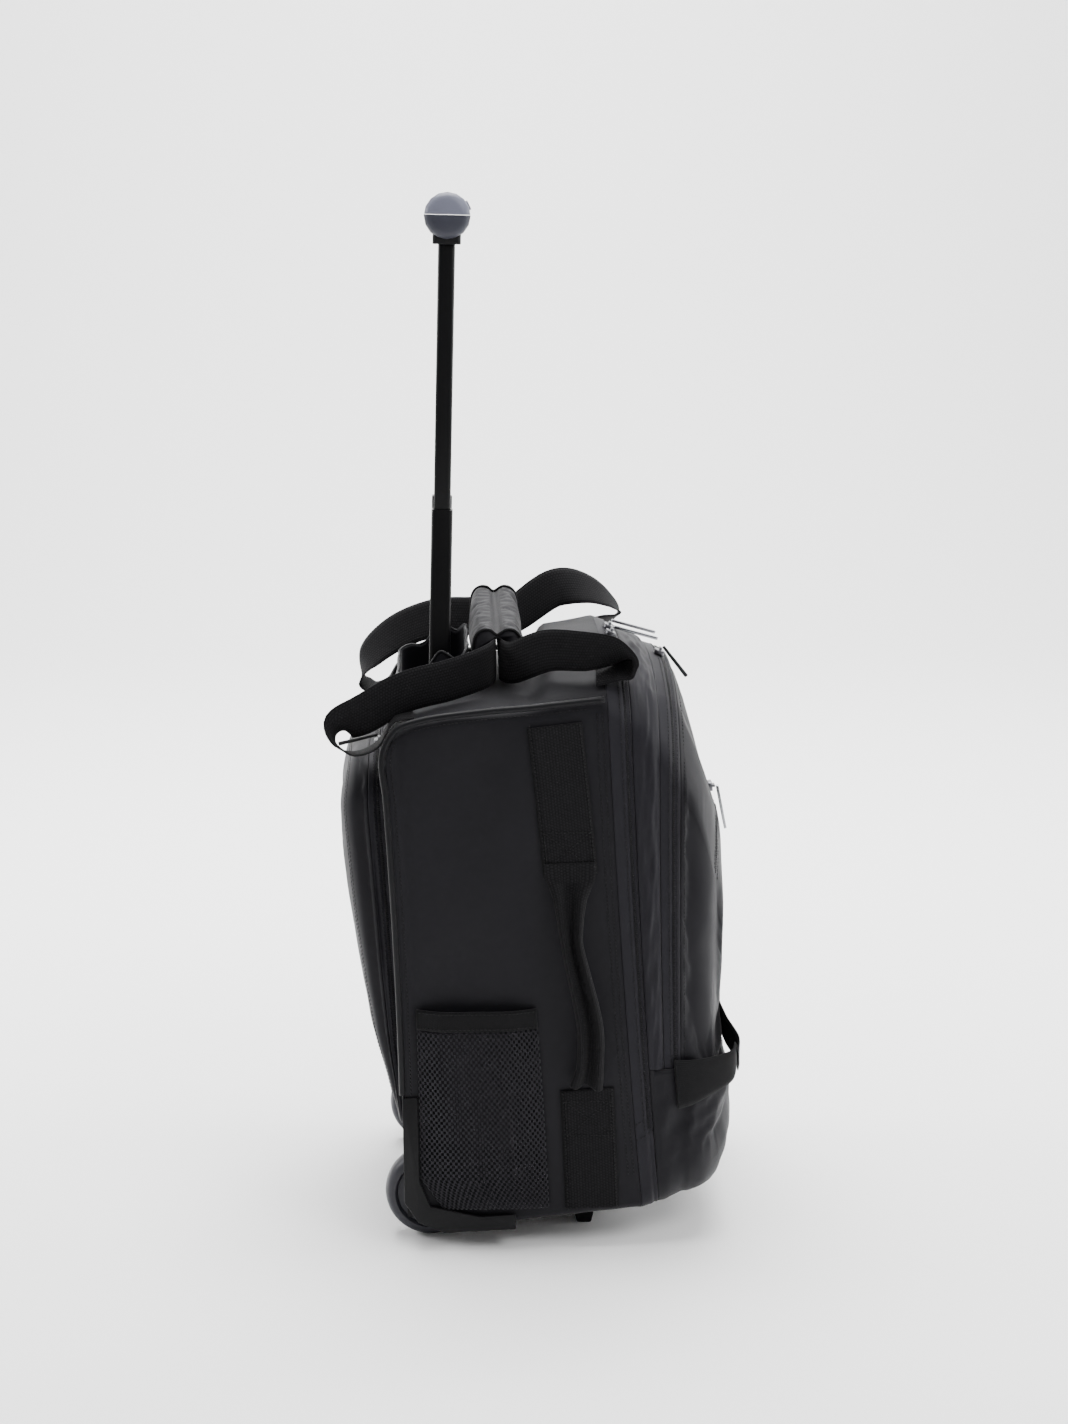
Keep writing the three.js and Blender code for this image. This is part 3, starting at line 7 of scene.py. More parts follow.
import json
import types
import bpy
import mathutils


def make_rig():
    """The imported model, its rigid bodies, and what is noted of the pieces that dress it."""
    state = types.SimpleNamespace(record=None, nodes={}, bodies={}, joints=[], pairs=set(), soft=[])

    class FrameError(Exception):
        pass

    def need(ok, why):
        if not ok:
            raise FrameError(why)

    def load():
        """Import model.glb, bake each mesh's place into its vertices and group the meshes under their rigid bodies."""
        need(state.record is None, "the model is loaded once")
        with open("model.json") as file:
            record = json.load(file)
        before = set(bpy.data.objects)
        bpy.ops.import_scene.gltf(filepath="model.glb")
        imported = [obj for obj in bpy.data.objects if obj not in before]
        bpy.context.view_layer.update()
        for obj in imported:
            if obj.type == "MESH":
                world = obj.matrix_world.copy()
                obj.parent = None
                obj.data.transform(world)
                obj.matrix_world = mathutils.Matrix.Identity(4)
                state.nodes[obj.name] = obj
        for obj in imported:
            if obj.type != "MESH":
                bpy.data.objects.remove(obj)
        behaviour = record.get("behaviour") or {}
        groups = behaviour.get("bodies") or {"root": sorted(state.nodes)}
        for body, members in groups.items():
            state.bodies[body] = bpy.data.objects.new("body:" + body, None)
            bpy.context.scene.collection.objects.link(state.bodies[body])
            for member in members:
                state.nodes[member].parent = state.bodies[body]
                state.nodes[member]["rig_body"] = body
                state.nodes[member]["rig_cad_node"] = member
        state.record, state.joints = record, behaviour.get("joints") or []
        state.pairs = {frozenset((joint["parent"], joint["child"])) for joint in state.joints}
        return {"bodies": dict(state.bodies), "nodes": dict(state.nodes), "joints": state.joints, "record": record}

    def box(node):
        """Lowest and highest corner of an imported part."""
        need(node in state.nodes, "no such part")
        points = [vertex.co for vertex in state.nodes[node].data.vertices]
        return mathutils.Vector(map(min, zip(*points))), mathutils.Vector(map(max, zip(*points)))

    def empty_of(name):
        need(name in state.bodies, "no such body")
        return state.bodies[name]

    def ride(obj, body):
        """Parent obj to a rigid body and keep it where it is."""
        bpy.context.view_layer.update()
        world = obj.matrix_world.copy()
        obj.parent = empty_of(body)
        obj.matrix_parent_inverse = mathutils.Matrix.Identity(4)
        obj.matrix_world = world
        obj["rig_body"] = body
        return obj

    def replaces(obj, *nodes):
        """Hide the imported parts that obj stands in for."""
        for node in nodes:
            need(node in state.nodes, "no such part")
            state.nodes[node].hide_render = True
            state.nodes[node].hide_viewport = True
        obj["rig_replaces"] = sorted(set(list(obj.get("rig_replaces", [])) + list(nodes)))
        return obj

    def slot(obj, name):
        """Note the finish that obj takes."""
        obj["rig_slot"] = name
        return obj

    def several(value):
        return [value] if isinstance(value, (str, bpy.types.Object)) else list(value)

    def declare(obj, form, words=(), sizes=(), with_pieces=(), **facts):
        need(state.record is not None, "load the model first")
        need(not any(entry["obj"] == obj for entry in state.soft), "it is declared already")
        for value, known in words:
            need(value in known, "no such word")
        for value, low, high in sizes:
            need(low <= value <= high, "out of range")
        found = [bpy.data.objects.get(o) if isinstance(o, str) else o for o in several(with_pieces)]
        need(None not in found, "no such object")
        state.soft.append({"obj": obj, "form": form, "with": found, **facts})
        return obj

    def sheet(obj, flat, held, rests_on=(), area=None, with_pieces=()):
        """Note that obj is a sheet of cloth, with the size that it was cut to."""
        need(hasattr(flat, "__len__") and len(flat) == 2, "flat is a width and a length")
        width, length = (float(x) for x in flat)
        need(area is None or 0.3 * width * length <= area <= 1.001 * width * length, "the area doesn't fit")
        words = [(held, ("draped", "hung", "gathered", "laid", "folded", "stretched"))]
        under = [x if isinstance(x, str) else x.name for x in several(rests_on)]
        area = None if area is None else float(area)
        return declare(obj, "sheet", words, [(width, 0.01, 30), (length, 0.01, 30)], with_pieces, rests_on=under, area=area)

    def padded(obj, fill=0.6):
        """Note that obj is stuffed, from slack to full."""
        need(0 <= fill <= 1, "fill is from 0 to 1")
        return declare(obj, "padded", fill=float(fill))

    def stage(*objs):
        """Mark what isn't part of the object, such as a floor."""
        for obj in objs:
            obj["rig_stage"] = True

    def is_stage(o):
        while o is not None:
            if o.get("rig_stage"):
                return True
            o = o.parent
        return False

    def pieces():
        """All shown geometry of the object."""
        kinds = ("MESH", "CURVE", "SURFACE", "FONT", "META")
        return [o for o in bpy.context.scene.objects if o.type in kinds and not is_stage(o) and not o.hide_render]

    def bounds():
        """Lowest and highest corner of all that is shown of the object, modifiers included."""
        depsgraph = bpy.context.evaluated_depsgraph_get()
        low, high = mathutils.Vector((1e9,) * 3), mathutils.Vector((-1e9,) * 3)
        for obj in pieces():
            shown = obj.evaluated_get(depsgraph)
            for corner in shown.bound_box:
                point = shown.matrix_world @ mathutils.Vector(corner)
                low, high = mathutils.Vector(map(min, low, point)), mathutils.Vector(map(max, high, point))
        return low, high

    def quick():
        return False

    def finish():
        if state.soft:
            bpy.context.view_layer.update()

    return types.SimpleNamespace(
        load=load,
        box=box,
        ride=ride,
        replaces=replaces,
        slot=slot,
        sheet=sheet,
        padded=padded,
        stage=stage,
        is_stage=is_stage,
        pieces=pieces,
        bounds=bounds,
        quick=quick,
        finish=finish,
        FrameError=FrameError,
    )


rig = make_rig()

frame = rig.load()
CAD_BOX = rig.bounds()

import json
import logging
import math
from contextlib import contextmanager
from dataclasses import dataclass, field
from enum import Enum
from typing import Iterator, Sequence

import bmesh
import bpy
import numpy as np
from mathutils import Matrix, Vector
from mathutils.bvhtree import BVHTree

Array = np.ndarray
Piece = bpy.types.Object
Socket = bpy.types.NodeSocket
Feed = Socket | float | Sequence[float]
MM = 0.001
LOG = logging.getLogger("backpack")
AXLE = (-122.0, 0.0, 41.0)
BAG_CENTRE = np.array([0.0, -90.0, 260.0])


def frame_origin() -> Array:
    """Place of the bag's own origin in the frame of the solids, in millimetres."""
    low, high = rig.box("axle_near")
    return (np.array(low) + np.array(high)) / 2 / MM - np.array(AXLE)


ORIGIN = frame_origin()


def world(points: Array) -> Array:
    """Turns millimetres in the bag's own frame into metres in the frame of the solids."""
    return (np.asarray(points, float) + ORIGIN) * MM


class Pattern(Enum):
    """How the surface of a material is made up."""

    WEAVE = "weave"
    WEBBING = "webbing"
    NET = "net"
    MOULDED = "moulded"
    METAL = "metal"


@dataclass(frozen=True)
class Finish:
    """One material: its colour, gloss, and the scale and depth of its pattern.

    Lengths are in millimetres. Slot names the record's material slot.
    """

    name: str
    slot: str
    color: tuple[float, float, float]
    roughness: float
    pattern: Pattern
    pitch: float = 0.8
    depth: float = 0.1
    metallic: float = 0.0
    sheen: float = 0.0
    coat: float = 0.0
    variation: float = 0.25
    wear: float = 0.0
    shine: float = 0.22

    def material(self) -> bpy.types.Material:
        """Builds the material, or gives back the one that was built before."""
        made = bpy.data.materials.get(self.name)
        return made or MaterialMaker(self).build()


FABRIC = Finish("charcoal_fabric", "fabric", (0.0056, 0.0053, 0.0072), 0.58, Pattern.WEAVE,
                pitch=0.7, depth=0.05, sheen=0.06, variation=0.16, shine=0.13)
GUSSET = Finish("gusset_weave", "gusset_fabric", (0.0092, 0.0087, 0.0118), 0.58, Pattern.WEAVE,
                pitch=0.7, depth=0.05, sheen=0.06, variation=0.18, shine=0.13)
LINING = Finish("well_fabric", "gusset_fabric", (0.009, 0.0088, 0.0115), 0.5, Pattern.WEAVE,
                pitch=0.7, depth=0.05, sheen=0.1, variation=0.2, shine=0.14)
PIPING = Finish("piping_fabric", "gusset_fabric", (0.0035, 0.0035, 0.0045), 0.45, Pattern.WEAVE,
                pitch=0.6, depth=0.05, sheen=0.03, variation=0.2, shine=0.14)
WEBBING = Finish("black_webbing", "webbing", (0.0066, 0.0064, 0.0072), 0.8, Pattern.WEBBING,
                 pitch=2.6, depth=0.45, sheen=0.02, variation=0.15, shine=0.1)
BINDING = Finish("binding_tape", "webbing", (0.004, 0.004, 0.0046), 0.75, Pattern.WEBBING,
                 pitch=1.5, depth=0.15, sheen=0.03, variation=0.15, shine=0.12)
NET = Finish("black_net", "mesh", (0.0135, 0.013, 0.0155), 0.72, Pattern.NET,
             pitch=3.3, depth=0.3, sheen=0.03, shine=0.1)
THREAD = Finish("black_thread", "webbing", (0.0012, 0.0012, 0.0015), 0.6, Pattern.MOULDED,
                pitch=0.3, depth=0.04, variation=0.1)
CORD = Finish("black_cord", "cord", (0.005, 0.005, 0.006), 0.5, Pattern.WEBBING,
              pitch=1.0, depth=0.12, variation=0.2)
TUBE = Finish("black_tube", "tube", (0.0018, 0.0018, 0.0022), 0.36, Pattern.METAL,
              pitch=0.5, depth=0.006, coat=0.1, variation=0.3, wear=0.03, shine=0.1)
PLASTIC = Finish("black_moulding", "black_plastic", (0.0026, 0.0026, 0.0032), 0.42,
                 Pattern.MOULDED, pitch=0.5, depth=0.03, variation=0.3, wear=0.03, shine=0.14)
TEETH = Finish("zip_coil", "black_plastic", (0.004, 0.004, 0.005), 0.35, Pattern.MOULDED,
               pitch=0.4, depth=0.01, variation=0.2)
WHEEL = Finish("grey_tread", "wheel", (0.028, 0.028, 0.034), 0.4, Pattern.MOULDED,
               pitch=0.6, depth=0.02, variation=0.3, wear=0.05)
GRIP_LIGHT = Finish("light_grip", "grip_light", (0.13, 0.135, 0.175), 0.36, Pattern.MOULDED,
                    pitch=0.5, depth=0.02, variation=0.12, wear=0.2)
GRIP_DARK = Finish("dark_grip", "grip_dark", (0.03, 0.031, 0.042), 0.4, Pattern.MOULDED,
                   pitch=0.5, depth=0.025, variation=0.15, wear=0.2)
CHROME = Finish("plated_puller", "chrome", (0.26, 0.265, 0.28), 0.16, Pattern.METAL,
                pitch=0.6, depth=0.004, metallic=1.0, variation=0.15, shine=0.5)
STEEL = Finish("dark_slider", "steel", (0.12, 0.12, 0.13), 0.3, Pattern.METAL,
               pitch=0.5, depth=0.006, metallic=1.0, variation=0.3, wear=0.3)


class TreeMaker:
    """Adds nodes to a node tree and links them in one call."""

    def __init__(self, tree: bpy.types.NodeTree) -> None:
        """Keeps the tree that the nodes go to."""
        self.tree = tree

    def add(self, kind: str, inputs: dict | None = None, **settings) -> bpy.types.Node:
        """Adds one node.

        Args:
            kind: the node's type name.
            inputs: sockets by name or number, each a value or another node's output.
            settings: properties of the node.

        Returns:
            The new node.
        """
        node = self.tree.nodes.new(kind)
        for name, value in settings.items():
            setattr(node, name, value)
        for key, value in (inputs or {}).items():
            if isinstance(value, Socket):
                self.tree.links.new(value, node.inputs[key])
            else:
                node.inputs[key].default_value = value
        return node

    def math(self, operation: str, first: Feed, second: Feed = 0.0) -> Socket:
        """Adds a Math node and returns its output."""
        return self.add("ShaderNodeMath", {0: first, 1: second}, operation=operation).outputs[0]

    def vector(self, operation: str, first: Feed, second: Feed = (0.0, 0.0, 0.0)) -> Socket:
        """Adds a Vector Math node and returns its output."""
        made = self.add("ShaderNodeVectorMath", {0: first, 1: second}, operation=operation)
        return made.outputs[0]

    def noise(self, vector: Feed, scale: Feed, detail: float = 2.0) -> Socket:
        """Adds a Noise Texture node and returns its factor."""
        made = self.add("ShaderNodeTexNoise", {"Vector": vector, "Scale": scale, "Detail": detail})
        return made.outputs["Fac" if "Fac" in made.outputs else 0]


def shader_group(name: str) -> bpy.types.NodeTree:
    """Makes one of the shared shader node groups, or gives back the one made before."""
    tree = bpy.data.node_groups.get(name)
    if tree:
        return tree
    fill, inputs, output = GROUPS[name]
    tree = bpy.data.node_groups.new(name, "ShaderNodeTree")
    face = tree.interface
    face.new_socket("Vector", in_out="INPUT", socket_type="NodeSocketVector")
    for title in inputs:
        face.new_socket(title, in_out="INPUT", socket_type=FLOAT).default_value = 1.0
    face.new_socket(output, in_out="OUTPUT", socket_type=FLOAT)
    given = {socket.name: socket for socket in tree.nodes.new("NodeGroupInput").outputs}
    made = fill(TreeMaker(tree), given)
    tree.links.new(made, tree.nodes.new("NodeGroupOutput").inputs[0])
    return tree


FLOAT = "NodeSocketFloat"


def cloth_weave(make: TreeMaker, given: dict) -> Socket:
    """Height of a plain weave: threads that cross over and under each other."""
    parts = make.add("ShaderNodeSeparateXYZ", {0: given["Vector"]}).outputs
    turns = [make.math("MULTIPLY", make.math("DIVIDE", part, given["Pitch"]), math.pi)
             for part in parts[:2]]
    crossing = make.math("MULTIPLY", *[make.math("SINE", turn) for turn in turns])
    return make.math("ADD", make.math("MULTIPLY", crossing, 0.5), 0.5)


def webbing_weave(make: TreeMaker, given: dict) -> Socket:
    """Height of webbing: stout ribs across the band, each second column half a rib on."""
    across, along, _ = make.add("ShaderNodeSeparateXYZ", {0: given["Vector"]}).outputs
    column = make.math("DIVIDE", across, given["Pitch"])
    shift = make.math("MULTIPLY", make.math("FLOOR", column), 0.5)
    rib = make.math("ADD", make.math("DIVIDE", along, given["Pitch"]), shift)
    waves = [make.math("ABSOLUTE", make.math("SINE", make.math("MULTIPLY", part, math.pi)))
             for part in (column, rib)]
    return make.math("POWER", make.math("MULTIPLY", *waves), 0.6)


def net_holes(make: TreeMaker, given: dict) -> Socket:
    """Thread of a net with staggered round holes: 1 on the thread, 0 in a hole."""
    across, along, _ = make.add("ShaderNodeSeparateXYZ", {0: given["Vector"]}).outputs
    slants = [make.math("ADD", make.math("MULTIPLY", across, 0.7), make.math("MULTIPLY", along, k))
              for k in (0.55, -0.55)]
    waves = [make.math("COSINE", make.math(
        "MULTIPLY", make.math("DIVIDE", part, given["Pitch"]), 2 * math.pi)) for part in slants]
    total = make.math("ADD", *waves)
    cut = make.math("SUBTRACT", given["Open"], total)
    return make.add("ShaderNodeClamp", {0: make.math("MULTIPLY", cut, 4.0)}).outputs[0]


def fine_grain(make: TreeMaker, given: dict) -> Socket:
    """Height of a fine moulded or cast grain."""
    scale = make.math("DIVIDE", 0.7, given["Pitch"])
    return make.noise(given["Vector"], scale, 3.0)


def cloud(make: TreeMaker, given: dict) -> Socket:
    """A slow change of tone over a surface, round 1."""
    slow = make.noise(given["Vector"], given["Scale"], 3.0)
    fine = make.noise(given["Vector"], make.math("MULTIPLY", given["Scale"], 14.0), 2.0)
    both = make.math("ADD", make.math("MULTIPLY", slow, 0.7), make.math("MULTIPLY", fine, 0.3))
    swing = make.math("MULTIPLY", make.math("SUBTRACT", both, 0.5), given["Amount"])
    return make.math("ADD", make.math("MULTIPLY", swing, 2.0), 1.0)


def edge_wear(make: TreeMaker, given: dict) -> Socket:
    """Where edges are rubbed: raised edges broken up by noise."""
    edge = make.add("ShaderNodeNewGeometry").outputs["Pointiness"]
    rise = make.math("MULTIPLY", make.math("SUBTRACT", edge, 0.53), 12.0)
    mask = make.math("MULTIPLY", rise, make.noise(given["Vector"], 0.4, 3.0))
    limited = make.add("ShaderNodeClamp", {0: mask}).outputs[0]
    return make.math("MULTIPLY", limited, given["Amount"])


GROUPS = {
    "cloth_weave": (cloth_weave, ("Pitch",), "Height"),
    "webbing_weave": (webbing_weave, ("Pitch",), "Height"),
    "net_holes": (net_holes, ("Pitch", "Open"), "Thread"),
    "fine_grain": (fine_grain, ("Pitch",), "Height"),
    "cloud": (cloud, ("Scale", "Amount"), "Tone"),
    "edge_wear": (edge_wear, ("Amount",), "Wear"),
}


class MaterialMaker(TreeMaker):
    """Builds the node tree of one finish."""

    def __init__(self, finish: Finish) -> None:
        """Makes an empty material for the finish."""
        self.finish = finish
        self.made = bpy.data.materials.new(finish.name)
        self.made.use_nodes = True
        super().__init__(self.made.node_tree)
        self.tree.nodes.clear()

    def group(self, name: str, vector: Socket, **inputs) -> Socket:
        """Places a shared group in the material, sets its inputs and returns its output."""
        values = {"Vector": vector} | inputs
        return self.add("ShaderNodeGroup", values, node_tree=shader_group(name)).outputs[0]

    def build(self) -> bpy.types.Material:
        """Adds the shader, the pattern's height and the changes of colour, with painted shade in the hollows of weaves
        and webbing and painted light on their ridges.

        Returns:
            The finished material.
        """
        look = self.finish
        cloth = look.pattern in (Pattern.WEAVE, Pattern.WEBBING, Pattern.NET)
        places = self.add("ShaderNodeTexCoord").outputs
        here = self.vector("MULTIPLY", places["Object"], (1000.0,) * 3)
        flat = self.vector("MULTIPLY", places["UV"], (1000.0,) * 3) if cloth else here
        shader = self.add("ShaderNodeBsdfPrincipled", {
            "Metallic": look.metallic, "Sheen Weight": look.sheen, "Sheen Roughness": 0.45,
            "Specular IOR Level": look.shine,
            "Coat Weight": look.coat, "Coat Roughness": 0.2})
        tone = self.group("cloud", here, Scale=0.012, Amount=look.variation)
        color = self.vector("SCALE", look.color)
        self.tree.links.new(tone, color.node.inputs["Scale"])
        rough = self.math("MULTIPLY", tone, look.roughness)
        if look.pattern is Pattern.NET:
            height = self.group("net_holes", flat, Pitch=look.pitch, Open=0.35)
            self.tree.links.new(height, shader.inputs["Alpha"])
        else:
            kind = {Pattern.WEAVE: "cloth_weave", Pattern.WEBBING: "webbing_weave"}
            height = self.group(kind.get(look.pattern, "fine_grain"), flat, Pitch=look.pitch)
        if look.pattern in (Pattern.WEAVE, Pattern.WEBBING):
            # Painted shade and light: the weave's height darkens the colour in its hollows and lightens it on its
            # ridges.
            deep = 1.25 if look.pattern is Pattern.WEBBING else 0.4
            painted_weave_shading = self.math("ADD", self.math("MULTIPLY", height, deep), 1.0 - deep * 0.62)
            color = self.vector("SCALE", color)
            self.tree.links.new(painted_weave_shading, color.node.inputs["Scale"])
        if look.wear:
            worn = self.group("edge_wear", here, Amount=look.wear)
            mix = self.add("ShaderNodeMix", {"Factor": worn, 6: color, 7: (0.12, 0.12, 0.13, 1.0)},
                           data_type="RGBA")
            color = mix.outputs[2]
        self.tree.links.new(color, shader.inputs["Base Color"])
        self.tree.links.new(rough, shader.inputs["Roughness"])
        bump = self.add("ShaderNodeBump", {
            "Strength": 0.7, "Distance": look.depth * MM, "Height": height})
        self.tree.links.new(bump.outputs[0], shader.inputs["Normal"])
        target = self.add("ShaderNodeOutputMaterial")
        self.tree.links.new(shader.outputs[0], target.inputs[0])
        return self.made


def blend_rows(at: Array, places: Sequence[float], values: Sequence[float]) -> Array:
    """Reads a table column with smooth pieces that never overshoot.

    Args:
        at: where to read.
        places: the table's key column, rising.
        values: the column to read.

    Returns:
        The column's value at each place asked for.
    """
    x, y = np.asarray(places, float), np.asarray(values, float)
    at = np.clip(np.asarray(at, float), x[0], x[-1])
    step = np.diff(x)
    rate = np.diff(y) / step
    slope = np.zeros_like(y)
    slope[0], slope[-1] = rate[0], rate[-1]
    same = rate[:-1] * rate[1:] > 0
    total = np.where(same, rate[:-1] + rate[1:], 1.0)
    slope[1:-1] = np.where(same, 2 * rate[:-1] * rate[1:] / total, 0.0)
    k = np.clip(np.searchsorted(x, at, side="right") - 1, 0, len(x) - 2)
    t = (at - x[k]) / step[k]
    h = step[k]
    return (y[k] * (2 * t**3 - 3 * t**2 + 1) + slope[k] * h * (t**3 - 2 * t**2 + t)
            + y[k + 1] * (3 * t**2 - 2 * t**3) + slope[k + 1] * h * (t**3 - t**2))


def read_table(table: Array, at: float) -> list[float]:
    """Reads every column of a table at a place between its rows."""
    return [float(blend_rows(at, range(len(table)), column)) for column in table.T]


def ripple(points: Array, size: Sequence[float], seed: int, waves: int = 9) -> Array:
    """Smooth seeded unevenness between about -1 and 1.

    Args:
        points: where to read it, in millimetres.
        size: typical length of a wave along X, Y and Z.
        seed: picks the waves.
        waves: how many are summed.

    Returns:
        One value for each point.
    """
    pick = np.random.default_rng(seed)
    total = np.zeros(points.shape[:-1])
    for _ in range(waves):
        run = pick.normal(size=3)
        run = run / np.linalg.norm(run) / np.asarray(size, float) * pick.uniform(0.6, 1.6)
        total += np.sin(points @ run * 2 * math.pi + pick.uniform(0, 2 * math.pi))
    return total / math.sqrt(waves) * 0.8


def bump(value: Array, middle: float, width: float) -> Array:
    """A smooth hump of height 1 round a middle."""
    return np.exp(-(((value - middle) / width) ** 2))


def catmull(points: Array, samples: int) -> Array:
    """Points on a centripetal curve through control points, evenly over their spans.

    Args:
        points: the control points.
        samples: number of steps.

    Returns:
        samples + 1 points.
    """
    p = np.asarray(points, float)
    p = np.vstack([2 * p[0] - p[1], p, 2 * p[-1] - p[-2]])
    made = []
    for u in np.linspace(0, len(p) - 3, samples + 1):
        i = min(int(u), len(p) - 4)
        t = u - i
        a, b, c, d = p[i:i + 4]
        gaps = [max(1e-4, np.linalg.norm(q - r) ** 0.5) for q, r in ((b, a), (c, b), (d, c))]
        first = ((b - a) / gaps[0] - (c - a) / (gaps[0] + gaps[1]) + (c - b) / gaps[1]) * gaps[1]
        last = ((c - b) / gaps[1] - (d - b) / (gaps[1] + gaps[2]) + (d - c) / gaps[2]) * gaps[1]
        made.append(b + first * t + (3 * (c - b) - 2 * first - last) * t**2
                    + (2 * (b - c) + first + last) * t**3)
    return np.array(made)


def unit(vectors: Array) -> Array:
    """Vectors scaled to length 1."""
    return vectors / np.maximum(np.linalg.norm(vectors, axis=-1, keepdims=True), 1e-9)


def new_object(name: str, mesh: bpy.types.Mesh) -> Piece:
    """Links a new object for a mesh to the scene."""
    made = bpy.data.objects.new(name, mesh)
    bpy.context.scene.collection.objects.link(made)
    return made


def mesh_object(
    name: str, points: Array, faces: Sequence[Sequence[int]], smooth: bool = True,
) -> Piece:
    """Makes an object from points in the bag's own frame, in millimetres."""
    mesh = bpy.data.meshes.new(name)
    mesh.from_pydata(world(points).tolist(), [], [list(f) for f in faces])
    mesh.polygons.foreach_set("use_smooth", [smooth] * len(mesh.polygons))
    return new_object(name, mesh)


def plain_mesh(obj: Piece) -> None:
    """Applies every modifier of an object to its mesh."""
    graph = bpy.context.evaluated_depsgraph_get()
    made = bpy.data.meshes.new_from_object(obj.evaluated_get(graph))
    obj.modifiers.clear()
    obj.data = made


@contextmanager
def editing(mesh: bpy.types.Mesh) -> Iterator[bmesh.types.BMesh]:
    """Opens a mesh for bmesh operations and writes it back."""
    form = bmesh.new()
    form.from_mesh(mesh)
    yield form
    form.to_mesh(mesh)
    form.free()


def add_wall(obj: Piece, wall: float) -> None:
    """Gives a sheet a thickness inwards, in millimetres, as a live modifier."""
    shell = obj.modifiers.new("wall", "SOLIDIFY")
    shell.thickness, shell.offset = wall * MM, -1.0


def cut_away(obj: Piece, cutters: Sequence[Piece]) -> None:
    """Cuts closed forms out of an object and removes them."""
    for cutter in cutters:
        cut = obj.modifiers.new(cutter.name, "BOOLEAN")
        cut.operation, cut.solver, cut.object = "DIFFERENCE", "EXACT", cutter
    plain_mesh(obj)
    for cutter in cutters:
        bpy.data.objects.remove(cutter)


def away(points: Array, middle: float) -> Array:
    """Directions across the depth, away from the middle line at a height."""
    return (points - (0.0, 0.0, middle)) * (1.0, 0.0, 1.0)


def dress(obj: Piece, finish: Finish, body: str, *nodes: str) -> Piece:
    """Gives a piece its material, its body and the CAD nodes that it stands for.

    Args:
        obj: the piece.
        finish: its finish.
        body: the CAD body that it rides on.
        nodes: the CAD nodes that it replaces.

    Returns:
        The same object.
    """
    obj.data.materials.clear()
    obj.data.materials.append(finish.material())
    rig.ride(obj, body)
    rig.slot(obj, finish.slot)
    if nodes:
        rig.replaces(obj, *nodes)
    LOG.info("%s: %d faces, on %s", obj.name, len(obj.data.polygons), body)
    return obj


def pad(obj: Piece, finish: Finish, fill: float, node: str) -> Piece:
    """Dresses a padded piece of the bag and declares how far it is filled."""
    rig.padded(dress(obj, finish, "bag", node), fill)
    return obj


def paint_node(node: str, finish: Finish) -> None:
    """Gives a CAD node that stays as it is a better material."""
    for slot in frame["nodes"][node].material_slots:
        slot.material = finish.material()


@dataclass
class Sheet:
    """A grid of points over a surface: rows, columns and three lengths in millimetres."""

    points: Array
    ring: bool = False
    centre: Array = field(default_factory=lambda: BAG_CENTRE)

    def _frame(self) -> tuple[Array, bool]:
        """Unit normals away from the centre, and whether the faces have to be turned."""
        p = self.points
        across = (np.roll(p, -1, 1) - np.roll(p, 1, 1)) if self.ring else np.gradient(p, axis=1)
        normal = unit(np.cross(across, np.gradient(p, axis=0)))
        turned = float(np.sum(normal * (p - self.centre))) < 0
        return (-normal if turned else normal), turned

    def pushed(self, height: Array) -> "Sheet":
        """The sheet moved outwards by a height at each point."""
        moved = self.points + self._frame()[0] * np.asarray(height)[..., None]
        return Sheet(moved, self.ring, self.centre)

    def flat(self) -> tuple[float, float]:
        """Width and length in metres that the sheet is cut to, from its mean lengths."""
        wide = np.linalg.norm(np.diff(self.points, axis=1), axis=-1).sum(1).mean()
        long = np.linalg.norm(np.diff(self.points, axis=0), axis=-1).sum(0).mean()
        return float(wide) * MM, float(long) * MM

    def build(self, name: str, wall: float = 0.0, first: bool = False,
              last: bool = False) -> Piece:
        """Makes the mesh, with its UV map in metres along the surface.

        Args:
            name: name of the piece.
            wall: thickness that Solidify gives it inwards, in millimetres, or 0 for none.
            first: whether the first row is closed by a face.
            last: whether the last row is closed by a face.

        Returns:
            The new object.
        """
        rows, cols, _ = self.points.shape
        turned = self._frame()[1]
        wide = cols if self.ring else cols - 1
        closed = np.concatenate([self.points, self.points[:, :1]], 1) if self.ring else self.points
        u = np.linalg.norm(np.diff(closed, axis=1), axis=-1).mean(0).cumsum()
        v = np.linalg.norm(np.diff(self.points, axis=0), axis=-1).mean(1).cumsum()
        u, v = np.insert(u, 0, 0.0) * MM, np.insert(v, 0, 0.0) * MM
        faces, coords = [], []
        for i in range(rows - 1):
            for j in range(wide):
                k = (j + 1) % cols
                quad = [i * cols + j, i * cols + k, (i + 1) * cols + k, (i + 1) * cols + j]
                places = [(u[j], v[i]), (u[j + 1], v[i]), (u[j + 1], v[i + 1]), (u[j], v[i + 1])]
                faces.append(quad[::-1] if turned else quad)
                coords.extend(places[::-1] if turned else places)
        for wanted, start in ((first, 0), (last, (rows - 1) * cols)):
            if wanted:
                loop = list(range(start, start + cols))
                flat = self.points.reshape(-1, 3)[loop]
                area = np.sum(np.cross(flat - flat[0], np.roll(flat, -1, 0) - flat[0]), 0)
                out = flat.mean(0) - self.points.reshape(-1, 3).mean(0)
                loop = loop if float(area @ out) > 0 else loop[::-1]
                faces.append(loop)
                coords.extend([(u[-1] / 2, v[0 if start == 0 else -1])] * cols)
        made = mesh_object(name, self.points.reshape(-1, 3), faces)
        layer = made.data.uv_layers.new(name="UVMap")
        layer.data.foreach_set("uv", np.array(coords, np.float32).ravel())
        if wall:
            add_wall(made, wall)
        return made


def cut_level(obj: Piece, level: float, keep_above: bool) -> None:
    """Cuts a sheet at a height and keeps one side of it."""
    with editing(obj.data) as form:
        bmesh.ops.bisect_plane(
            form, geom=form.verts[:] + form.edges[:] + form.faces[:],
            plane_co=world(np.array([0.0, 0.0, level])).tolist(), plane_no=(0, 0, 1),
            clear_inner=keep_above, clear_outer=not keep_above)


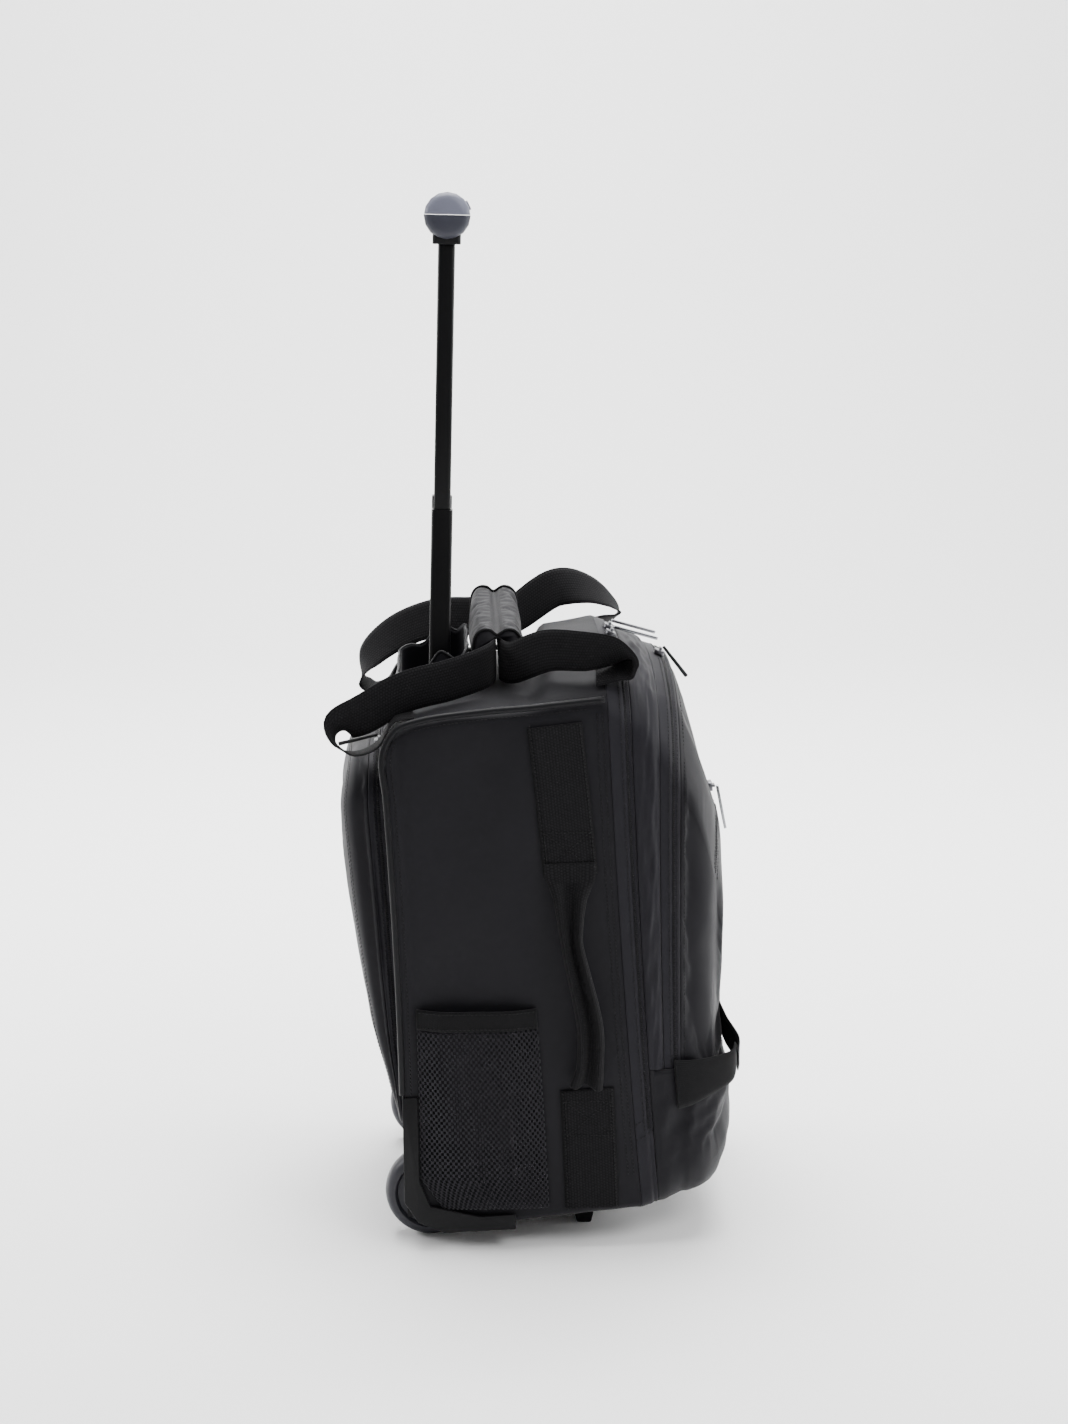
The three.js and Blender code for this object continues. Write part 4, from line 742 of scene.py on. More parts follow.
def settle(obj: Piece, pinned: Array, pressure: float, cap: float,
           grow: float = 0.015) -> None:
    """Lets a cloth piece fill out with Blender's cloth and keeps the result.

    Args:
        obj: the piece, a sheet or a closed form.
        pinned: one truth value for each vertex that stays where it is.
        pressure: pressure inside.
        cap: the furthest that a vertex may move, in millimetres.
        grow: how much wider the cloth is cut than its shape.
    """
    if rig.quick():
        return
    count = len(obj.data.vertices)
    rest = np.empty(count * 3)
    obj.data.vertices.foreach_get("co", rest)
    rest = rest.reshape(-1, 3)
    cloth = obj.modifiers.new("cloth", "CLOTH")
    if pinned.any():
        group = obj.vertex_groups.new(name="pinned")
        group.add(np.flatnonzero(pinned).tolist(), 1.0, "REPLACE")
        cloth.settings.vertex_group_mass = "pinned"
    cloth.settings.quality = 5
    cloth.settings.bending_stiffness = 0.4
    cloth.settings.use_pressure = True
    cloth.settings.uniform_pressure_force = pressure
    cloth.settings.effector_weights.gravity = 0.0
    cloth.settings.shrink_min = -grow
    cloth.collision_settings.use_collision = False
    scene = bpy.context.scene
    for number in range(1, 21):
        scene.frame_set(number)
    graph = bpy.context.evaluated_depsgraph_get()
    moved = np.empty(count * 3)
    obj.evaluated_get(graph).data.vertices.foreach_get("co", moved)
    step = moved.reshape(-1, 3) - rest
    length = np.linalg.norm(step, axis=1, keepdims=True)
    step *= np.minimum(1.0, cap * MM / np.maximum(length, 1e-9))
    obj.modifiers.remove(cloth)
    if pinned.any():
        obj.vertex_groups.clear()
    obj.data.vertices.foreach_set("co", (rest + step).ravel())
    obj.data.update()
    scene.frame_set(1)


def rounded_outline(wide: float, deep: float, radius: float, corner: int = 6) -> Array:
    """Points round a rectangle with round corners, turning left, in millimetres."""
    points = []
    for k, (sx, sy) in enumerate(((1, -1), (1, 1), (-1, 1), (-1, -1))):
        start = -math.pi / 2 + k * math.pi / 2
        for i in range(corner + 1):
            angle = start + math.pi / 2 * i / corner
            points.append((sx * (wide / 2 - radius) + radius * math.cos(angle),
                           sy * (deep / 2 - radius) + radius * math.sin(angle)))
    return np.array(points)


def swept(path: Array, radius: float, sides: int = 10, name: str = "cord") -> Piece:
    """A closed round tube along a path.

    Args:
        path: points of the centre line.
        radius: its radius in millimetres.
        sides: faces round it.
        name: name of the piece.

    Returns:
        The new object.
    """
    run = unit(np.gradient(path, axis=0))
    side = unit(np.cross(run, np.array([0.31, 0.17, 0.93])))
    other = np.cross(run, side)
    turns = np.linspace(0, 2 * math.pi, sides, endpoint=False)
    ring = (np.cos(turns)[None, :, None] * side[:, None] + np.sin(turns)[None, :, None]
            * other[:, None]) * radius
    return closed_form(name, path[:, None] + ring, path.mean(0))


def outwards(obj: Piece) -> None:
    """Merges doubled points of a closed mesh and turns its faces outwards."""
    with editing(obj.data) as form:
        bmesh.ops.remove_doubles(form, verts=form.verts, dist=1e-6)
        bmesh.ops.recalc_face_normals(form, faces=form.faces)


def closed_form(name: str, rings: Array,
                centre: Array | None = None) -> Piece:
    """Makes a solid of rings with a face over its first and its last one."""
    middle = rings.reshape(-1, 3).mean(0) if centre is None else centre
    made = Sheet(rings, True, middle).build(name, first=True, last=True)
    outwards(made)
    return made


@dataclass
class Station:
    """One place along a band: its middle, the direction of its width, and its width."""

    point: Sequence[float]
    across: Sequence[float]
    width: float


def ribbon(name: str, stations: Sequence[Station], thick: float, samples: int,
           sag: float = 0.0, full: float = 0.0) -> Piece:
    """A flat band of webbing through stations, with rounded selvedges.

    Args:
        name: name of the piece.
        stations: the places that it goes through.
        thick: its thickness in millimetres.
        samples: steps along it.
        sag: how far its middle bows out of flat, in millimetres.
        full: its width when it isn't gathered; where the stations are narrower it folds.

    Returns:
        The new object.
    """
    centre = catmull(np.array([s.point for s in stations]), samples)
    at = np.linspace(0, len(stations) - 1, samples + 1)
    k = np.minimum(at.astype(int), len(stations) - 2)
    t = (at - k)[:, None]
    across = np.array([s.across for s in stations], float)
    width = np.array([s.width for s in stations], float)
    run = unit(np.gradient(centre, axis=0))
    wide = across[k] * (1 - t) + across[k + 1] * t
    wide = unit(wide - np.sum(wide * run, 1, keepdims=True) * run)
    up = np.cross(run, wide)
    half = (width[k] * (1 - t[:, 0]) + width[k + 1] * t[:, 0]) / 2
    shares = np.linspace(-1, 1, 21 if full else 9)
    lift = thick / 2 * np.minimum(1.0, 0.45 + 6 * (1 - np.abs(shares)))
    slack = np.sqrt(np.maximum(0.0, (0.86 * full / (2 * half)) ** 2 - 1)) * half * 0.3
    loop = np.concatenate([shares, shares[::-1]])
    skin = np.concatenate([-lift, lift])
    height = skin + sag * (1 - loop**2) + slack[:, None] * np.cos(loop * 1.5 * math.pi)
    points = (centre[:, None] + wide[:, None] * (loop[None, :, None] * half[:, None, None])
              + up[:, None] * height[..., None])
    return closed_form(name, points, centre.mean(0))


def refined(node: str, name: str, bevel: float, angle: float = 28.0,
            segments: int = 2) -> Piece:
    """A copy of a hard CAD solid with merged points and rounded edges.

    Args:
        node: the CAD node.
        name: name of the piece.
        bevel: width of the rounding in millimetres.
        angle: edges sharper than this many degrees are rounded.
        segments: steps in each rounding.

    Returns:
        The new object.
    """
    made = new_object(name, frame["nodes"][node].data.copy())
    with editing(made.data) as form:
        bmesh.ops.remove_doubles(form, verts=form.verts, dist=2e-6)
        bmesh.ops.dissolve_limit(form, angle_limit=math.radians(1.0), verts=form.verts,
                                 edges=form.edges)
    edge = made.modifiers.new("edges", "BEVEL")
    edge.width, edge.segments, edge.limit_method = bevel * MM, segments, "ANGLE"
    edge.angle_limit = math.radians(angle)
    edge.use_clamp_overlap, edge.harden_normals = True, False
    plain_mesh(made)
    made.data.polygons.foreach_set("use_smooth", [True] * len(made.data.polygons))
    made.data.set_sharp_from_angle(angle=math.radians(32.0))
    return made


def lathe(name: str, profile: Sequence[tuple[float, float]], centre: Sequence[float],
          steps: int = 72) -> Piece:
    """A solid of turning whose axis runs along X.

    Args:
        name: name of the piece.
        profile: (radius, x) pairs, closed on themselves.
        centre: where the axis middle lies.
        steps: faces round it.

    Returns:
        The new object.
    """
    shape = np.array(profile)
    turns = np.linspace(0, 2 * math.pi, steps, endpoint=False)
    points = np.stack([
        np.broadcast_to(shape[:, 1][None], (steps, len(shape))),
        np.cos(turns)[:, None] * shape[:, 0][None],
        np.sin(turns)[:, None] * shape[:, 0][None]], -1) + np.asarray(centre, float)
    closed = np.concatenate([points, points[:1]], 0)
    made = Sheet(closed, True, np.asarray(centre, float)).build(name)
    outwards(made)
    made.data.set_sharp_from_angle(angle=math.radians(38.0))
    return made


class RowKind(Enum):
    """What is laid along a row, with its length, width, height and pitch in millimetres."""

    STITCH = (2.8, 0.95, 0.75, 3.6)
    COIL = (1.15, 3.6, 1.3, 1.7)


def row_tree() -> bpy.types.NodeTree:
    """The Geometry Nodes tree that lays small rounded pieces along lines.

    Returns:
        The tree, with named inputs for the pieces' size, pitch, material and seed.
    """
    tree = bpy.data.node_groups.get("laid_row")
    if tree:
        return tree
    tree = bpy.data.node_groups.new("laid_row", "GeometryNodeTree")
    face = tree.interface
    face.new_socket("Geometry", in_out="INPUT", socket_type="NodeSocketGeometry")
    for title, default in (("Length", 0.0026), ("Width", 0.0006), ("Height", 0.0006),
                           ("Pitch", 0.0034)):
        face.new_socket(title, in_out="INPUT", socket_type=FLOAT).default_value = default
    face.new_socket("Seed", in_out="INPUT", socket_type="NodeSocketInt").default_value = 3
    face.new_socket("Material", in_out="INPUT", socket_type="NodeSocketMaterial")
    face.new_socket("Geometry", in_out="OUTPUT", socket_type="NodeSocketGeometry")
    make = TreeMaker(tree)
    given = tree.nodes.new("NodeGroupInput").outputs
    lines = make.add("GeometryNodeMeshToCurve", {"Mesh": given["Geometry"]}).outputs[0]
    even = make.add("GeometryNodeResampleCurve", {"Curve": lines, "Length": given["Pitch"]},
                    mode="LENGTH").outputs[0]
    tangent = make.add("GeometryNodeInputTangent").outputs[0]
    out = make.add("GeometryNodeInputNamedAttribute", {"Name": "out"},
                   data_type="FLOAT_VECTOR").outputs[0]
    first = make.add("FunctionNodeAlignRotationToVector", {"Vector": tangent}, axis="X").outputs[0]
    turned = make.add("FunctionNodeAlignRotationToVector", {"Rotation": first, "Vector": out},
                      axis="Z", pivot_axis="X").outputs[0]
    swing = make.add("FunctionNodeRandomValue", {"Seed": given["Seed"]}, data_type="FLOAT_VECTOR")
    swing.inputs[0].default_value, swing.inputs[1].default_value = (0.93,) * 3, (1.07,) * 3
    size = make.add("ShaderNodeCombineXYZ", {0: given["Length"], 1: given["Width"],
                                             2: given["Height"]}).outputs[0]
    scale = make.vector("MULTIPLY", size, swing.outputs[0])
    ball = make.add("GeometryNodeMeshUVSphere", {"Segments": 6, "Rings": 4, "Radius": 0.5})
    laid = make.add("GeometryNodeInstanceOnPoints", {
        "Points": even, "Instance": ball.outputs[0], "Rotation": turned, "Scale": scale})
    real = make.add("GeometryNodeRealizeInstances", {"Geometry": laid.outputs[0]}).outputs[0]
    smooth = make.add("GeometryNodeSetShadeSmooth", {"Geometry": real}).outputs[0]
    painted = make.add("GeometryNodeSetMaterial", {
        "Geometry": smooth, "Material": given["Material"]}).outputs[0]
    make.tree.links.new(painted, tree.nodes.new("NodeGroupOutput").inputs[0])
    return tree


@dataclass
class Rows:
    """Collects lines on surfaces and lays stitches or zip coils along them."""

    name: str
    kind: RowKind
    finish: Finish
    seed: int = 3
    points: list[Array] = field(default_factory=list)
    outs: list[Array] = field(default_factory=list)

    def line(self, points: Array, outs: Array, lift: float = 0.1) -> None:
        """Adds one line, lifted off the surface by a distance in millimetres."""
        outs = unit(np.broadcast_to(np.asarray(outs, float), np.shape(points)))
        self.points.append(np.asarray(points, float) + outs * lift)
        self.outs.append(outs)

    def build(self, body: str = "bag") -> Piece:
        """Lays the pieces, turns them into a plain mesh and lets it ride.

        Returns:
            The finished object.
        """
        mesh = bpy.data.meshes.new(self.name)
        edges, start = [], 0
        for line in self.points:
            edges += [(start + i, start + i + 1) for i in range(len(line) - 1)]
            start += len(line)
        mesh.from_pydata(world(np.vstack(self.points)).tolist(), edges, [])
        mesh.attributes.new("out", "FLOAT_VECTOR", "POINT").data.foreach_set(
            "vector", np.vstack(self.outs).astype(np.float32).ravel())
        made = new_object(self.name, mesh)
        tree = row_tree()
        nodes = made.modifiers.new("row", "NODES")
        nodes.node_group = tree
        long, wide, high, pitch = (value * MM for value in self.kind.value)
        values = {"Length": long, "Width": wide, "Height": high, "Pitch": pitch,
                  "Seed": self.seed, "Material": self.finish.material()}
        for item in tree.interface.items_tree:
            if item.in_out == "INPUT" and item.name in values:
                nodes[item.identifier] = values[item.name]
        plain_mesh(made)
        return dress(made, self.finish, body)


@dataclass
class Outline:
    """Sizes of one outline of the bag in a plane across its depth, in millimetres."""

    half: float
    low: float
    high: float
    crown: float
    round: float


@dataclass
class BagForm:
    """The outer form of the bag, with the same named sizes as its solids."""

    half: float = 165.0
    side_top: float = 500.0
    side_bulge: float = 6.0
    crown: float = 46.0
    edge_round: float = 8.0
    level_low: float = 40.0
    back_offset: float = 20.5
    back_lean: float = 19.5
    cloth: float = 2.2
    layers: tuple = (("body", 210.0, -14.0), ("zip", 15.5, 5.0), ("mid", 9.7, 16.0),
                     ("band", 12.0, 6.7))
    bows: dict = field(default_factory=lambda: {
        "back": -5.0, "body": 3.0, "zip": 3.0, "mid": 3.5, "band": 2.0})
    main: tuple = (
        (0.0, 0.094, 0.922, 0.1), (0.055, 0.058, 0.948, 0.2), (0.16, 0.04, 0.964, 0.22),
        (0.46, 0.045, 0.98, 0.16), (0.65, 0.053, 0.986, 0.2), (0.77, 0.06, 0.991, 0.9),
        (1.0, 0.068, 1.0, 0.96))
    seams: dict = field(default_factory=lambda: {
        "body": (1.0, 0.068, 1.0, 0.96, 1.5), "zip": (0.988, 0.07, 0.992, 0.82, 3.0),
        "mid": (0.97, 0.073, 0.966, 0.78, 4.0), "band": (0.95, 0.078, 0.925, 1.08, 5.0)})

    def level(self, z: Array) -> Array:
        """Height as a share of the side panel's."""
        return (np.asarray(z, float) - self.level_low) / (self.side_top - self.level_low)

    def seam_y(self, seam: str, z: Array) -> Array:
        """Depth of a seam at a height."""
        level = self.level(z)
        y = self.back_offset + self.back_lean * level
        if seam != "back":
            for name, depth, flare in self.layers:
                y = y - (depth + flare * level)
                if name == seam:
                    break
        return y + self.bows[seam] * 4 * level * (1 - level)

    def bulge(self, z: Array) -> Array:
        """Outward bulge of a side panel at a height."""
        t = np.clip(np.asarray(z, float) / self.side_top, 0, 1)
        return self.side_bulge * 6.75 * (1 - t) * t * t

    @staticmethod
    def crown_at(x: Array, half: float, crown: float) -> Array:
        """Rise of the crowned top over its sides."""
        return crown * (1 - np.minimum(1.0, np.abs(x / half)) ** 2.5)

    def sized(self, row: Sequence[float]) -> Outline:
        """Turns half, low, high, crown and round shares into an outline."""
        half, low, high, crown, corner = row
        return Outline(self.half * half, self.side_top * low, self.side_top * high,
                       self.crown * crown, self.edge_round * corner)

    def main_row(self, depth: float) -> Outline:
        """The outline of the main body at a depth share of the side panel."""
        table = np.array(self.main)
        low, high, crown = (float(blend_rows(depth, table[:, 0], table[:, k])) for k in (1, 2, 3))
        return self.sized((1.0, low, high, crown, 1.0 + 0.5 * depth))

    def loop(self, row: Outline, side: int = 44, top: int = 48, bottom: int = 20,
             corner: int = 5) -> Array:
        """Points round an outline, from the underside's -X end, turning by +X.

        Args:
            row: the outline.
            side: steps up a side.
            top: steps over the top.
            bottom: steps along the underside.
            corner: steps round a corner.

        Returns:
            Rows of x and z.
        """
        points: list[tuple[float, float]] = []

        def arc(cx: float, cz: float, start: float) -> None:
            """Adds the points of one corner."""
            for i in range(1, corner):
                angle = start + math.pi / 2 * i / corner
                points.append((cx + row.round * math.cos(angle), cz + row.round * math.sin(angle)))

        def line(x0: float, z0: float, x1: float, z1: float, count: int) -> None:
            """Adds the points of one straight."""
            for i in range(count + 1):
                points.append((x0 + (x1 - x0) * i / count, z0 + (z1 - z0) * i / count))

        h, r = row.half, row.round
        line(-h + r, row.low, h - r, row.low, bottom)
        arc(h - r, row.low + r, -math.pi / 2)
        line(h, row.low + r, h, row.high - r, side)
        arc(h - r, row.high - r, 0)
        line(h - r, row.high, -h + r, row.high, top)
        arc(-h + r, row.high - r, math.pi / 2)
        line(-h, row.high - r, -h, row.low + r, side)
        arc(-h + r, row.low + r, math.pi)
        p = np.array(points)
        upper = np.clip((p[:, 1] - (row.high - r)) / r, 0, 1)
        p[:, 0] += np.sign(p[:, 0]) * self.bulge(p[:, 1]) * np.abs(p[:, 0] / h) ** 6
        p[:, 1] += upper * self.crown_at(p[:, 0], h, row.crown)
        return p

    def share(self, y: float, z: float) -> float:
        """Depth share of the side panel at a place."""
        back, body = self.seam_y("back", z), self.seam_y("body", z)
        return float(np.clip((back - y) / (back - body), 0, 1))

    def panel_top(self, y: float) -> float:
        """Height of the side panel's top edge at a depth."""
        return self.main_row(self.share(y, self.side_top)).high

    def panel_low(self, y: float) -> float:
        """Height of the side panel's lower edge at a depth."""
        return self.main_row(self.share(y, self.level_low)).low

    def top_at(self, x: float, y: float) -> float:
        """Height of the bag's top, read straight between the table's rows."""
        share = self.share(y, self.side_top)
        table = np.array(self.main)
        high, crown = (float(np.interp(share, table[:, 0], table[:, k])) for k in (2, 3))
        return self.side_top * high + float(self.crown_at(x, self.half, self.crown * crown))

    def outline(self, row: Sequence[float], side: int = 70, top: int = 60) -> Array:
        """Points round the outline of a row of shares."""
        return self.loop(self.sized(row), side=side, top=top)

    def side_x(self, z: Array, proud: Array) -> Array:
        """X of a place standing proud of the near side panel."""
        return -(self.half + self.bulge(z) + proud)


FORM = BagForm()
POCKET_DEPTH = 41.0
FLAP_HEIGHT = 166.0
DOME = np.array([
    (0.0, 0.95, 0.078, 0.925, 1.08, 5.0), (0.48, 0.915, 0.082, 0.872, 0.7, 5.5),
    (0.8, 0.84, 0.095, 0.79, 0.55, 6.0), (0.95, 0.72, 0.13, 0.7, 0.4, 6.0),
    (1.0, 0.4, 0.25, 0.52, 0.2, 5.0), (1.02, 0.12, 0.34, 0.44, 0.06, 2.0)])
WEB = 1.8
STRIP_WIDTH = 48.0


def strip_y(z: Array) -> Array:
    """Depth of the side webbing's middle at a height."""
    return FORM.seam_y("back", z) - 146.0 - 17.5 * (1 - FORM.level(z)) - WEB


def grown(loop: Array, distance: float) -> Array:
    """An outline of x and z moved outwards by a distance at each point."""
    run = np.roll(loop, -1, 0) - np.roll(loop, 1, 0)
    run = run / np.maximum(np.linalg.norm(run, axis=1, keepdims=True), 1e-9)
    return loop + np.stack([run[:, 1], -run[:, 0]], -1) * np.asarray(distance)[..., None]


def place(loop: Array, depth: Array) -> Array:
    """Points of an outline of x and z at their depths."""
    return np.stack([loop[:, 0], np.broadcast_to(depth, len(loop)), loop[:, 1]], -1)


def box_cutter(name: str, outline: Array, low: float, high: float) -> Piece:
    """An upright prism over an outline of x and y."""
    count = len(outline)
    points = np.vstack([np.column_stack([outline, np.full(count, z)]) for z in (low, high)])
    faces = [list(range(count))[::-1], list(range(count, 2 * count))]
    faces += [[i, (i + 1) % count, count + (i + 1) % count, count + i] for i in range(count)]
    return mesh_object(name, points, faces, smooth=False)


class Surface:
    """The outside of finished pieces, to lay stitches and zips on."""

    def __init__(self, *pieces: Piece) -> None:
        """Reads the pieces' evaluated meshes."""
        graph = bpy.context.evaluated_depsgraph_get()
        verts, faces = [], []
        for piece in pieces:
            mesh = piece.evaluated_get(graph).data
            start = len(verts)
            verts += [v.co.copy() for v in mesh.vertices]
            faces += [[start + i for i in p.vertices] for p in mesh.polygons]
        self.tree = BVHTree.FromPolygons(verts, faces)

    def cast(self, points: Array, out: Array, reach: float = 14.0) -> tuple:
        """Drops points on the surface from outside.

        Args:
            points: places near the surface, in millimetres.
            out: direction away from the surface, one or one for each point.
            reach: how far out the rays start.

        Returns:
            The points on the surface and its normals; a miss keeps the point as it was.
        """
        out = unit(np.broadcast_to(np.asarray(out, float), np.shape(points)))
        places, normals = [], []
        for point, away in zip(points, out):
            start = Vector(world(point + away * reach))
            hit, normal, _, _ = self.tree.ray_cast(start, Vector(-away), 2.2 * reach * MM)
            places.append(point if hit is None else np.array(hit) / MM - ORIGIN)
            normals.append(away if normal is None else np.array(normal))
        return np.array(places), np.array(normals)


def lay(rows: Rows, surface: Surface, points: Array, out: Array,
        lift: float = 0.1) -> None:
    """Adds a line of stitches or teeth where it falls on a surface."""
    places, normals = surface.cast(np.asarray(points, float), out)
    normals = np.where(np.sum(normals * out, -1, keepdims=True) < 0, -normals, normals)
    rows.line(places, normals, lift)


@dataclass
class Stitching:
    """The rows of stitches and the zip coils of the whole bag."""

    thread: Rows = field(default_factory=lambda: Rows("stitches", RowKind.STITCH, THREAD))
    coils: Rows = field(default_factory=lambda: Rows("zip_coils", RowKind.COIL, TEETH, 5))

    def build(self) -> None:
        """Lays every row."""
        self.thread.build()
        self.coils.build()


@dataclass
class MainBody:
    """The main compartment: side panels, crowned top, back, floor and the piping."""

    rows: int = 54
    pad: float = 1.0
    piping_radius: float = 3.0
    well_width: float = 172.0
    well_front: float = 37.0
    well_back: float = 27.0
    housing_radius: float = 46.7
    housing_width: float = 34.2

    def height(self, points: Array, share: Array) -> Array:
        """How far the padded cloth stands in or out of its plain form.

        Args:
            points: places on the plain form.
            share: depth share of each row, 0 at the back edge and 1 at the zip.

        Returns:
            The height of each point.
        """
        x, y, z = points[..., 0], points[..., 1], points[..., 2]
        slow = ripple(points, (260, 120, 170), 5, 16) * 1.3
        quick = ripple(points, (90, 40, 70), 6, 20) * ripple(points, (200, 80, 100), 7) * 0.35
        t = share[:, None]
        fade = np.clip(t / 0.07, 0, 1) * np.clip((1 - t) / 0.05, 0, 1)
        pucker = np.sin(z * 0.31 + 2 * np.sin(z * 0.045)) * 0.35 * bump(t, 0.97, 0.035)
        band = bump(y, strip_y(z), 30.0) * (x < 0)
        tuck = -0.9 * bump(t, 0.055, 0.02)
        return (self.pad * (slow + quick - 0.5) * fade + pucker + tuck) * (1 - 0.9 * band)

    def surface(self) -> Sheet:
        """The outer surface from the middle of the back to the zip's seam."""
        share = np.linspace(0, 1, self.rows) ** 1.25
        rings = []
        for t in share:
            loop = FORM.loop(FORM.main_row(float(t)), side=60, top=56)
            y = FORM.seam_y("back", loop[:, 1]) * (1 - t) + FORM.seam_y("body", loop[:, 1]) * t
            rings.append(place(loop, y + 0.2 * t))
        edge = rings[0]
        back = []
        for f in (0.06, 0.25, 0.45, 0.62, 0.76, 0.86, 0.93, 0.975):
            z = 250 + (edge[:, 2] - 250) * f
            back.append(np.stack([edge[:, 0] * f, FORM.seam_y("back", z), z], -1))
        sheet = Sheet(np.array(back + rings), True)
        heights = self.height(np.array(rings), share)
        return sheet.pushed(np.vstack([np.zeros((len(back), len(edge))), heights]))

    def shell(self) -> Piece:
        """The hollow shell, cut for the handle's well and the wheels."""
        made = self.surface().build("body_shell_cloth", wall=FORM.cloth, first=True)
        deep = self.well_front + self.well_back + 0.8
        outline = rounded_outline(self.well_width + 0.8, deep, 12.4)
        outline[:, 1] += (self.well_back - self.well_front) / 2
        cutters = [box_cutter("well_cut", outline, 405.0, 600.0)]
        for x in (-122.0, 122.0):
            half, radius = self.housing_width / 2 + 0.6, self.housing_radius + 0.6
            profile = [(0.01, -half), (radius, -half), (radius, half), (0.01, half)]
            cutters.append(lathe("arch_cut", profile, (x, 0.0, 41.0), 48))
        cut_away(made, cutters)
        made.data.set_sharp_from_angle(angle=math.radians(50.0))
        return pad(made, FABRIC, 0.5, "body_shell")

    def piping_path(self, side: int) -> Array:
        """Middle line of the piping of one side, from the zip back and down to the guard."""
        edge = self.piping_radius - 0.45
        path = []
        for depth, _, high, _ in reversed(FORM.main):
            z = FORM.side_top * high
            y = FORM.seam_y("back", z) * (1 - depth) + FORM.seam_y("body", z) * depth
            path.append([y, z + edge * 0.5])
        top = path.pop()[1] - edge * 0.5
        path[0][0] += edge
        for z in np.linspace(top - FORM.edge_round, 144.0 + edge, 9):
            path.append([FORM.seam_y("back", z) + edge, z])
        points = [(side * (FORM.half + FORM.bulge(z) * 0.9 + edge * 0.45), y, z) for y, z in path]
        return catmull(np.array(points), 150)

    def piping(self, side: int, label: str) -> Piece:
        """The covered cord along one side panel's edge."""
        made = swept(self.piping_path(side), self.piping_radius, 12, f"piping_{label}_cord")
        return dress(made, PIPING, "bag", f"piping_{label}")

    def build(self, stitching: Stitching) -> None:
        """Builds the shell and both pipings, and stitches along them."""
        shell = self.shell()
        surface = Surface(shell)
        for side, label in ((-1, "near"), (1, "far")):
            self.piping(side, label)
            path = self.piping_path(side)
            inner = path.copy()
            inner[:, 2] -= 7.5 * (path[:, 1] < FORM.seam_y("back", path[:, 2]) - 4)
            inner[:, 1] -= 7.5 * (path[:, 1] >= FORM.seam_y("back", path[:, 2]) - 4)
            lay(stitching.thread, surface, inner[4:], (side, 0.0, 0.0))
            z = np.linspace(70.0, 488.0, 260)
            for back in (4.5, 9.5):
                y = FORM.seam_y("body", z) + back
                seam = np.stack([side * (166 + FORM.bulge(z)), y, z], -1)
                lay(stitching.thread, surface, seam, (side, 0.0, 0.0))


@dataclass
class SeamBand:
    """A strip that runs round the bag between two seams."""

    name: str
    node: str
    start: str
    end: str
    puff: float
    finish: Finish
    zip_at: float = 0.0
    fold: float = 0.0
    above: bool = False
    rows: int = 22
    seed: int = 11

    def surface(self) -> Sheet:
        """The strip's outer surface, puffed, folded and grooved for its zip."""
        outlines = [FORM.outline(FORM.seams[s], 90, 80) for s in (self.start, self.end)]
        shares = np.linspace(0, 1, self.rows)
        rings = []
        for s in shares:
            loop = outlines[0] * (1 - s) + outlines[1] * s
            first = FORM.seam_y(self.start, loop[:, 1]) - 0.2
            last = FORM.seam_y(self.end, loop[:, 1]) + 0.2
            rings.append(place(loop, first * (1 - s) + last * s))
        sheet = Sheet(np.array(rings), True)
        s = shares[:, None]
        swell = np.sin(math.pi * s)
        p, seed = sheet.points, self.seed
        height = self.puff * swell**0.8 + 0.25 * ripple(p, (60, 20, 45), seed) * swell
        if self.fold:
            run = ripple(p, (70, 11, 60), seed + 1) + 0.7 * ripple(p, (40, 8, 26), seed + 2)
            height = height + self.fold * run * swell
        if self.zip_at:
            height = height - 1.3 * bump(s, self.zip_at, 0.12) + 0.7 * bump(s, self.zip_at, 0.24)
        return sheet.pushed(height)

    def build(self, stitching: Stitching) -> Piece:
        """Makes the strip and lays its zip."""
        tray = self.fold > 0
        made = self.surface().build(self.name, wall=FORM.cloth, first=tray)
        if self.above:
            cut_level(made, FLAP_HEIGHT + 0.2, True)
        pad(made, self.finish, 0.4, self.node)
        if self.zip_at:
            points = self.surface().points
            low = FLAP_HEIGHT + 3 if self.above else 108.0
            for z in () if self.above else (115.0, 102.0):
                column = np.abs(points[0][:, 2] - z) + 400 * (points[0][:, 0] > 0)
                across = points[:, int(np.argmin(column))][1:-1]
                for side in (1, -1):
                    stitching.thread.line(across * (side, 1, 1), (-side, 0.0, 0.0), 0.25)
            for offset, rows, lift in ((0, stitching.coils, 0.5), (-5, stitching.thread, 0.15),
                                       (4, stitching.thread, 0.15)):
                line = points[int(round(self.zip_at * (self.rows - 1))) + offset]
                line = line[line[:, 2] > low]
                rows.line(line, away(line, 250.0), lift)
        return made


